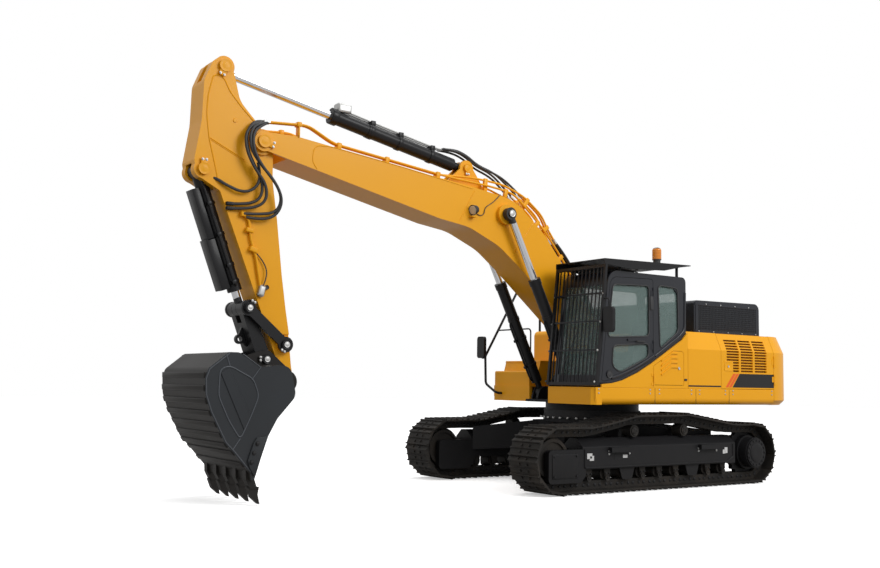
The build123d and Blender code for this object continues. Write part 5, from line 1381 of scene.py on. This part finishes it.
        # rows: forward, up, half width, half height, turn in degrees
        for x_at, z_at, half, high, turn in ((6.035, 3.340, 0.050, 0.028, 8),
                                             (5.972, 3.100, 0.055, 0.032, 18),
                                             (6.130, 3.535, 0.030, 0.030, 0)):
            block = Blank.box((-half, -0.029, -high), (half, 0.029, high))
            block.toward((0, 1, 0)).inset(0.010, 0.006)
            blocks.append(block.soften(0.004).stamp([tilted(at(x_at, 0.238, z_at), turn)]))
        finish(join(blocks), "arm_line_clamps", "arm", Coat.YELLOW)
        valve = Blank.box((-0.040, -0.029, -0.060), (0.040, 0.034, 0.060))
        valve.pick(lambda centre, normal: abs(normal.z) > LOOKS_ALONG).inset(0.020, 0.020)
        valve.toward((0, 1, 0)).inset(0.014, 0.010)
        valve.soften(0.004).stamp([tilted(at(5.850, 0.240, 2.590), 12)])
        finish(valve, "arm_valve", "arm", Coat.ZINC)
        pilot = [(5.85, 0.262, 2.62), (5.80, 0.255, 2.72), (5.78, 0.245, 2.86), (5.86, 0.235, 3.00),
                 (5.93, 0.235, 3.06)]
        finish(tube(laid(pilot), 0.008, 3), "arm_pilot_hose", "arm", Coat.RUBBER)
        port = Blank.round(at(5.775, 0.206, 2.640), at(5.775, 0.250, 2.640), 0.030, 20)
        port.toward((0, 1, 0)).inset(0.008, -0.010)
        finish(port.soften(0.003), "arm_port", "arm", Coat.PLASTIC)
        sockets = []
        for z_at in (3.650, 3.590):
            socket = Blank.box(at(6.262, 0.208, z_at - 0.020), at(6.352, 0.256, z_at + 0.020))
            sockets.append(socket.toward((0, 1, 0)).inset(0.008, 0.004).soften(0.003))
        finish(join(sockets), "arm_sockets", "arm", Coat.FORGED)

    def foot_hoses(self) -> None:
        """Hoses from the deck up over the boom's foot to the steel lines."""
        lifted = [(0.88, 3.60), (0.74, 3.46), (0.58, 3.26), (0.40, 3.00), (0.20, 2.70), (-0.04, 2.42)]
        lying = [(0.57, 3.06), (0.44, 2.91), (0.28, 2.71), (0.12, 2.51), (-0.04, 2.33)]
        # rows: left, start, the way down, where it starts to move with the boom
        rows = [(0.238, (0.660, 3.160), lying, (0.60, 3.09)), (0.192, (0.980, 3.690), lifted, (0.90, 3.60)),
                (0.140, (0.980, 3.690), lifted, (0.90, 3.60)), (0.060, (0.980, 3.690), lifted, (0.90, 3.60))]
        for number, (left, start, way, free) in enumerate(rows):
            for hand, side in SIDES:
                run = [(start[0], hand * left, start[1]), *((x, hand * left, z) for x, z in way),
                       (-0.20, hand * left * 1.1, 2.00), (-0.24, hand * left * 1.1, 1.50)]
                hose = finish(tube(laid(run), self.hose_r), f"foot_hose_{number}_{side}", None, Coat.RUBBER)
                tuple(at(-0.10, 0, 2.30))
                tuple(at(free[0], 0, free[1]))
                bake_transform(hose)

    def boom_cylinder_lines(self) -> None:
        """Tube and clamps along the front of each boom cylinder's barrel."""
        way = (pin_at(BOOM_ROD_EYE) - pin_at(BOOM_CYLINDER_FOOT)).normalized()
        run = [(0.24, 0, 0.06), (0.26, 0, 0.11), (0.40, 0, 0.112), (1.10, 0, 0.112), (1.24, 0, 0.110),
               (1.27, 0, 0.06)]
        parts = []
        for hand in HANDS:
            pieces = [tube(run, 0.015, 4)]
            for along in (0.50, 0.95):
                near, far = along - 0.02, along + 0.02
                pieces.append(Blank.band((near, 0, 0), (far, 0, 0), 0.094, 0.011).soften(0.002))
                pieces.append(Blank.box((near, -0.028, 0.085), (far, 0.028, 0.135)).soften(0.004))
            foot = pin_at(BOOM_CYLINDER_FOOT, hand * BOOM_CYLINDER_Y)
            parts.append(join(pieces).stamp([lying(foot, way, -1)]))
        finish(join(parts), "boom_cylinder_tubes", "boom_barrels", Coat.CYLINDER)

    def bucket_cylinder_guard(self) -> None:
        """Folded guard plates and a tube along the bucket cylinder's barrel."""
        foot = pin_at(BUCKET_CYLINDER_FOOT)
        basis = lying(foot, (pin_at(BUCKET_ROD_EYE) - foot).normalized())
        guards = []
        for start, end, high in ((0.20, 0.86, 0.180), (0.84, 1.50, 0.205)):
            guard = Blank.box((start, -0.105, 0.088), (end, 0.105, high))
            guard.toward((0, 0, -1)).inset(0.008).push((0, 0, high - 0.098))
            guards.append(guard.soften(0.006))
        finish(join(guards).stamp([basis]), "bucket_cylinder_guard", "bucket_barrel", Coat.CYLINDER)
        run = [(0.05, 0.06, 0.02), (0.12, 0.12, 0.03), (0.20, 0.125, 0.03), (1.35, 0.125, 0.03),
               (1.47, 0.118, 0.02), (1.50, 0.07, 0.0)]
        lines = [tube(run, 0.017, 4)]
        for along in (0.42, 0.82, 1.22, 1.44):
            near, far = along - 0.022, along + 0.022
            lines.append(Blank.band((near, 0, 0), (far, 0, 0), 0.095, 0.011).soften(0.002))
            lines.append(Blank.box((near, 0.080, 0.004), (far, 0.150, 0.056)).soften(0.004))
        finish(join(lines).stamp([basis]), "bucket_cylinder_tube", "bucket_barrel", Coat.CYLINDER)

    def lamp(self) -> None:
        """Work lamp with its foot and wire on each side of the boom."""
        wire = [(2.60, 3.96), (2.52, 3.90), (2.42, 3.92), (2.40, 4.03), (2.33, 4.08), (2.22, 4.15),
                (2.12, 4.26)]
        for hand, side in SIDES:
            place = at(2.64, hand * (BOOM_HALF + 0.065), 3.965)
            aim = Vector((0.94, hand * 0.18, -0.28)).normalized()
            shell = Blank.round(place - aim * 0.055, place + aim * 0.03, 0.055, 32, 0.078)
            shell.toward(aim).inset(0.008, 0.0).inset(0.003, -0.012)
            finish(shell.soften(0.003), f"boom_lamp_{side}", "boom", Coat.PLASTIC)
            glass = Blank.round(place + aim * 0.018, place + aim * 0.026, 0.066, 32)
            glass.toward(aim).inset(0.02, 0.004)
            finish(glass.soften(0.002), f"boom_lamp_glass_{side}", "boom", Coat.LAMP)
            foot = Blank.box(at(2.60, hand * (BOOM_HALF - 0.002), 3.86),
                             at(2.68, hand * (BOOM_HALF + 0.085), 3.875))
            foot.toward((0, 0, 1)).inset(0.01, 0.002)
            finish(foot.soften(0.003), f"boom_lamp_foot_{side}", "boom", Coat.YELLOW)
            path = [at(x, hand * (BOOM_HALF + 0.010), z) for x, z in wire]
            finish(tube(path, 0.006, 3), f"lamp_wire_{side}", "boom", Coat.RUBBER)

    def arm_hoses(self) -> None:
        """Loops from the lines at the boom's end to the arm's sockets."""
        loops = {
            "arm_hose_a": [(5.84, 0.238, 4.745), (6.00, 0.262, 4.76), (6.14, 0.30, 4.60), (6.14, 0.31, 4.36),
                           (6.02, 0.31, 4.14), (5.90, 0.30, 3.95), (5.92, 0.29, 3.74), (6.10, 0.27, 3.655),
                           (6.30, 0.24, 3.65)],
            "arm_hose_b": [(5.84, 0.238, 4.745), (6.02, 0.285, 4.72), (6.17, 0.33, 4.56), (6.16, 0.34, 4.34),
                           (6.04, 0.335, 4.12), (5.86, 0.33, 3.92), (5.86, 0.32, 3.70), (6.06, 0.28, 3.60),
                           (6.30, 0.24, 3.59)],
            "arm_hose_c": [(5.84, 0.284, 4.745), (6.00, 0.30, 4.70), (6.12, 0.35, 4.56), (6.10, 0.36, 4.34),
                           (5.98, 0.36, 4.18), (5.76, 0.35, 3.98), (5.65, 0.34, 3.78), (5.70, 0.31, 3.60),
                           (5.90, 0.28, 3.55), (6.13, 0.262, 3.54)],
            "arm_hose_d": [(5.84, 0.284, 4.745), (5.99, 0.30, 4.66), (6.09, 0.37, 4.52), (6.07, 0.38, 4.32),
                           (5.95, 0.38, 4.14), (5.72, 0.36, 3.92), (5.64, 0.34, 3.72), (5.72, 0.31, 3.54),
                           (5.92, 0.28, 3.48), (6.09, 0.255, 3.50)],
        }
        for name, run in loops.items():
            hose = finish(tube(laid(run), self.hose_r), name, None, Coat.RUBBER)
            tuple(at(*run[0]))
            tuple(at(*run[-1]))
            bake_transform(hose)

    def bucket_cylinder_hose(self) -> None:
        """Hose from the arm's side to the foot of the bucket cylinder."""
        run = [(5.98, 0.30, 4.20), (5.93, 0.30, 4.02), (6.00, 0.29, 3.86), (6.16, 0.27, 3.80),
               (6.36, 0.25, 3.87), (6.50, 0.22, 3.95), (6.58, 0.14, 3.97)]
        finish(tube(laid(run), self.hose_r), "bucket_cylinder_hose", "arm", Coat.RUBBER)

    def barrel_lines(self) -> None:
        """Bright tubes, clamps and valve block on the arm cylinder's barrel, and hoses over the bend."""
        foot = pin_at(ARM_CYLINDER_FOOT)
        way = (pin_at(ARM_ROD_EYE) - foot).normalized()
        over = Vector((-way.z, 0, way.x))

        def on(along: float, across: float, above: float) -> Vector:
            """Place along the cylinder's axis."""
            return foot + way * along + over * above + Vector((0, across, 0))

        runs = []
        for across in (-0.03, 0.03):
            runs.append(tube([on(0.42, across, 0.155), on(0.50, across, 0.135), on(1.0, across, 0.13),
                              on(1.85, across, 0.13), on(2.02, across, 0.13)], 0.014, 3))
        finish(join(runs), "barrel_tubes", "arm_barrel", Coat.ZINC)
        bands = []
        for along in (0.60, 1.15, 1.62):
            band = Blank.band(on(along - 0.03, 0, 0), on(along + 0.03, 0, 0), 0.106, 0.012)
            bands.append(band.soften(0.003))
            bands.append(Blank.box(on(along, 0, 0.10) - Vector((0.035, 0.065, 0.02)),
                                   on(along, 0, 0.10) + Vector((0.035, 0.065, 0.05))).soften(0.005))
        bands.append(Blank.band(on(2.165, 0, 0), on(2.265, 0, 0), 0.114, 0.020).soften(0.004))
        finish(join(bands), "barrel_clamps", "arm_barrel", Coat.CYLINDER)
        middle, half = on(2.10, 0, 0.15), Vector((0.10, 0.07, 0.055))
        block = Blank.box(middle - half, middle + half)
        block.toward((0, 0, 1)).inset(0.015, 0.02)
        block.pick(lambda centre, normal: abs(normal.y) > LOOKS_ALONG).inset(0.02, 0.015)
        finish(block.soften(0.006), "barrel_valve", "arm_barrel", Coat.ZINC)
        for number, (across, lift) in enumerate(((-0.07, 0.0), (-0.03, 0.03), (0.03, 0.03), (0.07, 0.0))):
            run = [on(0.44, across, 0.155), on(0.24, across, 0.20 + lift), on(0.0, across, 0.19 + lift),
                   at(2.35, across, 4.68 + lift), at(2.06, across * 1.3, 4.61 + lift),
                   at(1.84, across * 1.7, 4.50), at(1.60, across * 2.0, 4.31)]
            hose = finish(tube(run, self.bend_hose_r), f"bend_hose_{number}", None, Coat.RUBBER)
            tuple(at(2.30, 0, 4.60))
            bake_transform(hose)

    def build(self) -> None:
        """Dress the boom and the arm."""
        self.pins()
        self.beads()
        self.boom_lines()
        self.arm_lines()
        self.lamp()
        self.arm_hoses()
        self.foot_hoses()
        self.bucket_cylinder_hose()
        self.bucket_cylinder_guard()
        self.boom_cylinder_lines()
        self.barrel_lines()


@dataclass
class Bucket:
    """Plates, wear bars, bolts and seams of the bucket."""

    half: float = 0.725
    bar_half: float = 0.715
    bead_r: float = 0.007

    def sides(self) -> None:
        """Bead round the free field of each side, the strip across it and the bolted side cutters."""
        leaf = eased([(6.55, 1.60), (6.43, 1.64), (6.13, 1.49), (6.05, 1.29), (6.14, 1.06), (6.27, 0.78),
                      (6.42, 1.00), (6.56, 1.29)], 0.07)
        strip = [(6.545, 1.560), (6.440, 1.615), (6.150, 1.060), (6.225, 0.890)]
        cutter = eased([(5.925, 0.810), (6.062, 0.800), (6.105, 0.740), (6.172, 0.530), (6.142, 0.440),
                        (6.080, 0.345)], 0.012)
        borders, plates, cutters, places = [], [], [], []
        for hand in HANDS:
            axis = Vector((0, hand, 0))
            face = hand * self.half
            borders.append(bead(leaf, face + hand * 0.002, 0.008, closed=True))
            plate = Blank.outline([at(x, face, z) for x, z in strip]).thicken(axis * 0.010)
            plates.append(plate.soften(0.003, 1))
            blade = Blank.outline([at(x, face, z) for x, z in cutter]).thicken(axis * 0.025)
            cutters.append(blade.toward(axis).inset(0.006, 0.002).soften(0.003, 1))
            places += [facing(at(x, face + hand * 0.026, z), axis)
                       for x, z in ((6.060, 0.730), (6.100, 0.620), (6.128, 0.512))]
        # the borders' lighter tone is a painted highlight
        finish(join(borders), "bucket_side_borders", "bucket", Coat.SEAM)
        finish(join(plates), "bucket_side_strips", "bucket", Coat.BUCKET)
        finish(join(cutters), "bucket_cutters", "bucket", Coat.BUCKET)
        bolts("bucket_cutter_bolts", "bucket", places, 0.022, 0.018, Coat.FORGED)

    def wear_bars(self) -> None:
        """Bars across the bucket's back."""
        spots = [(6.724, 1.525), (6.722, 1.375), (6.697, 1.225), (6.643, 1.085), (6.570, 0.955),
                 (6.504, 0.832), (6.437, 0.715), (6.345, 0.625), (6.222, 0.487)]
        bar = Blank.box((-0.035, -self.bar_half, -0.012), (0.035, self.bar_half, 0.013))
        bar.toward((0, 0, 1)).inset(0.010, 0.004)
        places = []
        for index, spot in enumerate(spots):
            back, ahead = spots[max(index - 1, 0)], spots[min(index + 1, len(spots) - 1)]
            places.append(lying(pin_at(spot), (pin_at(ahead) - pin_at(back)).normalized()))
        finish(bar.soften(0.004, 2).stamp(places), "bucket_wear_bars", "bucket", Coat.BUCKET)

    def seams(self) -> None:
        """Weld beads round the shell's edge on each side and where the ears meet it, in a lighter tone that
        is a painted highlight.
        """
        lines = ([(6.48, 1.78), (6.43, 1.63)],
                 [(6.27, 1.78), (6.04, 1.63), (6.15, 1.48)],
                 [(6.27, 0.79), (6.36, 0.66)],
                 [(6.44, 1.785), (6.675, 1.60), (6.715, 1.49), (6.705, 1.30), (6.635, 1.105), (6.445, 0.750),
                  (6.335, 0.640), (6.185, 0.470), (6.120, 0.395)])
        runs = [bead(line, hand * (self.half + 0.001), self.bead_r) for hand in HANDS for line in lines]
        finish(join(runs), "bucket_seams", "bucket", Coat.SEAM)

    def build(self) -> None:
        """Dress the bucket."""
        self.sides()
        self.wear_bars()
        self.seams()


@dataclass
class Cab:
    """Seals, mouldings, small hardware and the seat of the cab."""

    face: float = 1.469
    guard_foot: tuple[float, float] = (1.425, 1.478)
    guard_top: tuple[float, float] = (1.196, 3.190)
    guard_y: tuple[float, float] = (1.561, 0.537)
    seal_r: float = 0.011
    moulding_r: float = 0.020
    seat_y: float = 0.985
    seat_lean: float = 12.0
    bellows_low: float = 1.528
    folds: int = 5
    fold_pitch: float = 0.041
    fold_high: float = 0.037

    def seals(self) -> None:
        """Rubber seals round the side windows and mouldings along the cab's lower edge."""
        upper = [(0.240, 2.210), (1.072, 2.165), (0.971, 2.930), (0.240, 2.955)]
        lower = [(0.250, 1.905), (0.830, 1.668), (0.985, 1.760), (0.965, 2.055), (0.250, 2.105)]
        quarter = [(0.010, 2.030), (0.050, 2.975), (-0.370, 2.960), (-0.385, 2.305)]
        for name, body, loops in (("door_seals", "cab_door", (upper, lower)),
                                  ("quarter_seal", "upper", (quarter,))):
            rings = [bead(eased(loop, 0.08), self.face, self.seal_r, 3, True) for loop in loops]
            finish(join(rings), name, body, Coat.RUBBER)
        edge = [(0.140, 1.930), (0.500, 1.755), (0.810, 1.640), (1.000, 1.590)]
        sweep = [(0.120, 1.925), (-0.420, 2.245), (-0.520, 2.345), (-0.530, 2.900)]
        for name, body, line, ease in (("door_moulding", "cab_door", edge, 0.1),
                                       ("cab_moulding", "upper", sweep, 0.12)):
            strip = bead(eased(line, ease, False), self.face - 0.002, self.moulding_r, 4)
            finish(strip, name, body, Coat.CAB)

    def hardware(self) -> None:
        """Box on the door's rear edge, round cap, grip, bolts of the front guard and the wiper."""
        marker = Blank.box(at(0.163, self.face - 0.004, 2.600), at(0.228, self.face + 0.018, 2.800))
        marker.toward((0, 1, 0)).inset(0.012, 0.004)
        finish(marker.soften(0.007, 3), "pillar_box", "cab_door", Coat.PLASTIC)
        cap = Blank.round(at(1.040, self.face - 0.004, 1.640), at(1.040, self.face + 0.016, 1.640), 0.056, 36)
        cap.toward((0, 1, 0)).inset(0.014, -0.008).inset(0.016, 0.005)
        finish(cap.soften(0.003), "door_cap", "cab_door", Coat.PLASTIC)
        grip = [(0.36, self.face, 2.125), (0.36, self.face + 0.035, 2.125),
                (0.52, self.face + 0.035, 2.125), (0.52, self.face, 2.125)]
        finish(tube(laid(eased(grip, 0.03, False)), 0.010, 4, True), "door_grip", "cab_door", Coat.PLASTIC)
        (x_foot, z_foot), (x_top, z_top) = self.guard_foot, self.guard_top
        places = []
        for z_at in (1.53, 1.97, 2.37, 2.77, 3.12):
            x_at = x_foot - (z_at - z_foot) * (x_foot - x_top) / (z_top - z_foot)
            places += [facing(at(x_at, left, z_at), Vector((0, hand, 0)))
                       for left, hand in zip(self.guard_y, HANDS)]
        bolts("guard_bolts", "upper", places, 0.012, 0.011)
        wiper = [(1.262, 0.70, 1.62), (1.250, 0.72, 1.72), (1.180, 0.98, 2.30)]
        finish(tube(laid(wiper), 0.009, 3, True), "wiper_arm", "upper", Coat.RUBBER)

    def seat(self) -> None:
        """Stitched seat cushion, back rest and head rest in place of the plain blocks, on a bellows foot."""
        cushion = Blank.box((-0.26, -0.26, -0.07), (0.26, 0.26, 0.055))
        cushion.toward((0, 0, 1)).inset(0.075, 0.0).push((0, 0, 0.012)).inset(0.012, -0.010)
        cushion.soften(0.020, 3).smooth(1)
        cushion.stamp([Matrix.Translation(at(0.150, self.seat_y, 1.808))])
        back = Blank.box((-0.055, -0.25, -0.32), (0.05, 0.25, 0.32))
        back.toward((1, 0, 0)).inset(0.080, 0.0).push((0.012, 0, 0)).inset(0.012, -0.010)
        back.toward((0, 0, 1)).shrink((0.9, 0.86, 1.0))
        back.soften(0.022, 3).smooth(1)
        back.stamp([tilted(at(-0.130, self.seat_y, 2.163), self.seat_lean)])
        head = Blank.box((-0.045, -0.14, -0.09), (0.045, 0.14, 0.09))
        head.toward((1, 0, 0)).inset(0.03, 0.008)
        head.soften(0.020, 3).smooth(1)
        head.stamp([tilted(at(-0.200, self.seat_y, 2.553), self.seat_lean)])
        piece = finish(join([cushion, back, head]), "seat_cushions", "upper", Coat.CLOTH)
        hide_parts("seat")
        folds = []
        for step in range(self.folds):
            up = self.bellows_low + step * self.fold_pitch
            fold = Blank.box(at(-0.085, 0.780, up), at(0.325, 1.190, up + self.fold_high))
            fold.pick(lambda centre, normal: abs(normal.z) > LOOKS_ALONG).shrink((0.92, 0.92, 1.0))
            folds.append(fold.soften(0.006))
        finish(join(folds), "seat_bellows", "upper", Coat.RUBBER)

    def build(self) -> None:
        """Dress the cab."""
        self.seals()
        self.hardware()
        self.seat()


def main() -> None:
    """Build the studio, dress the frame's nodes and add every piece."""
    logging.basicConfig(level=logging.INFO)
    Studio().build()
    dress_nodes()
    for part in (Undercarriage(), Housing(), Cab(), Front(), Bucket()):
        part.build()
        log.info("%s done", type(part).__name__)
    clear_bench()


if __name__ == "__main__":
    main()
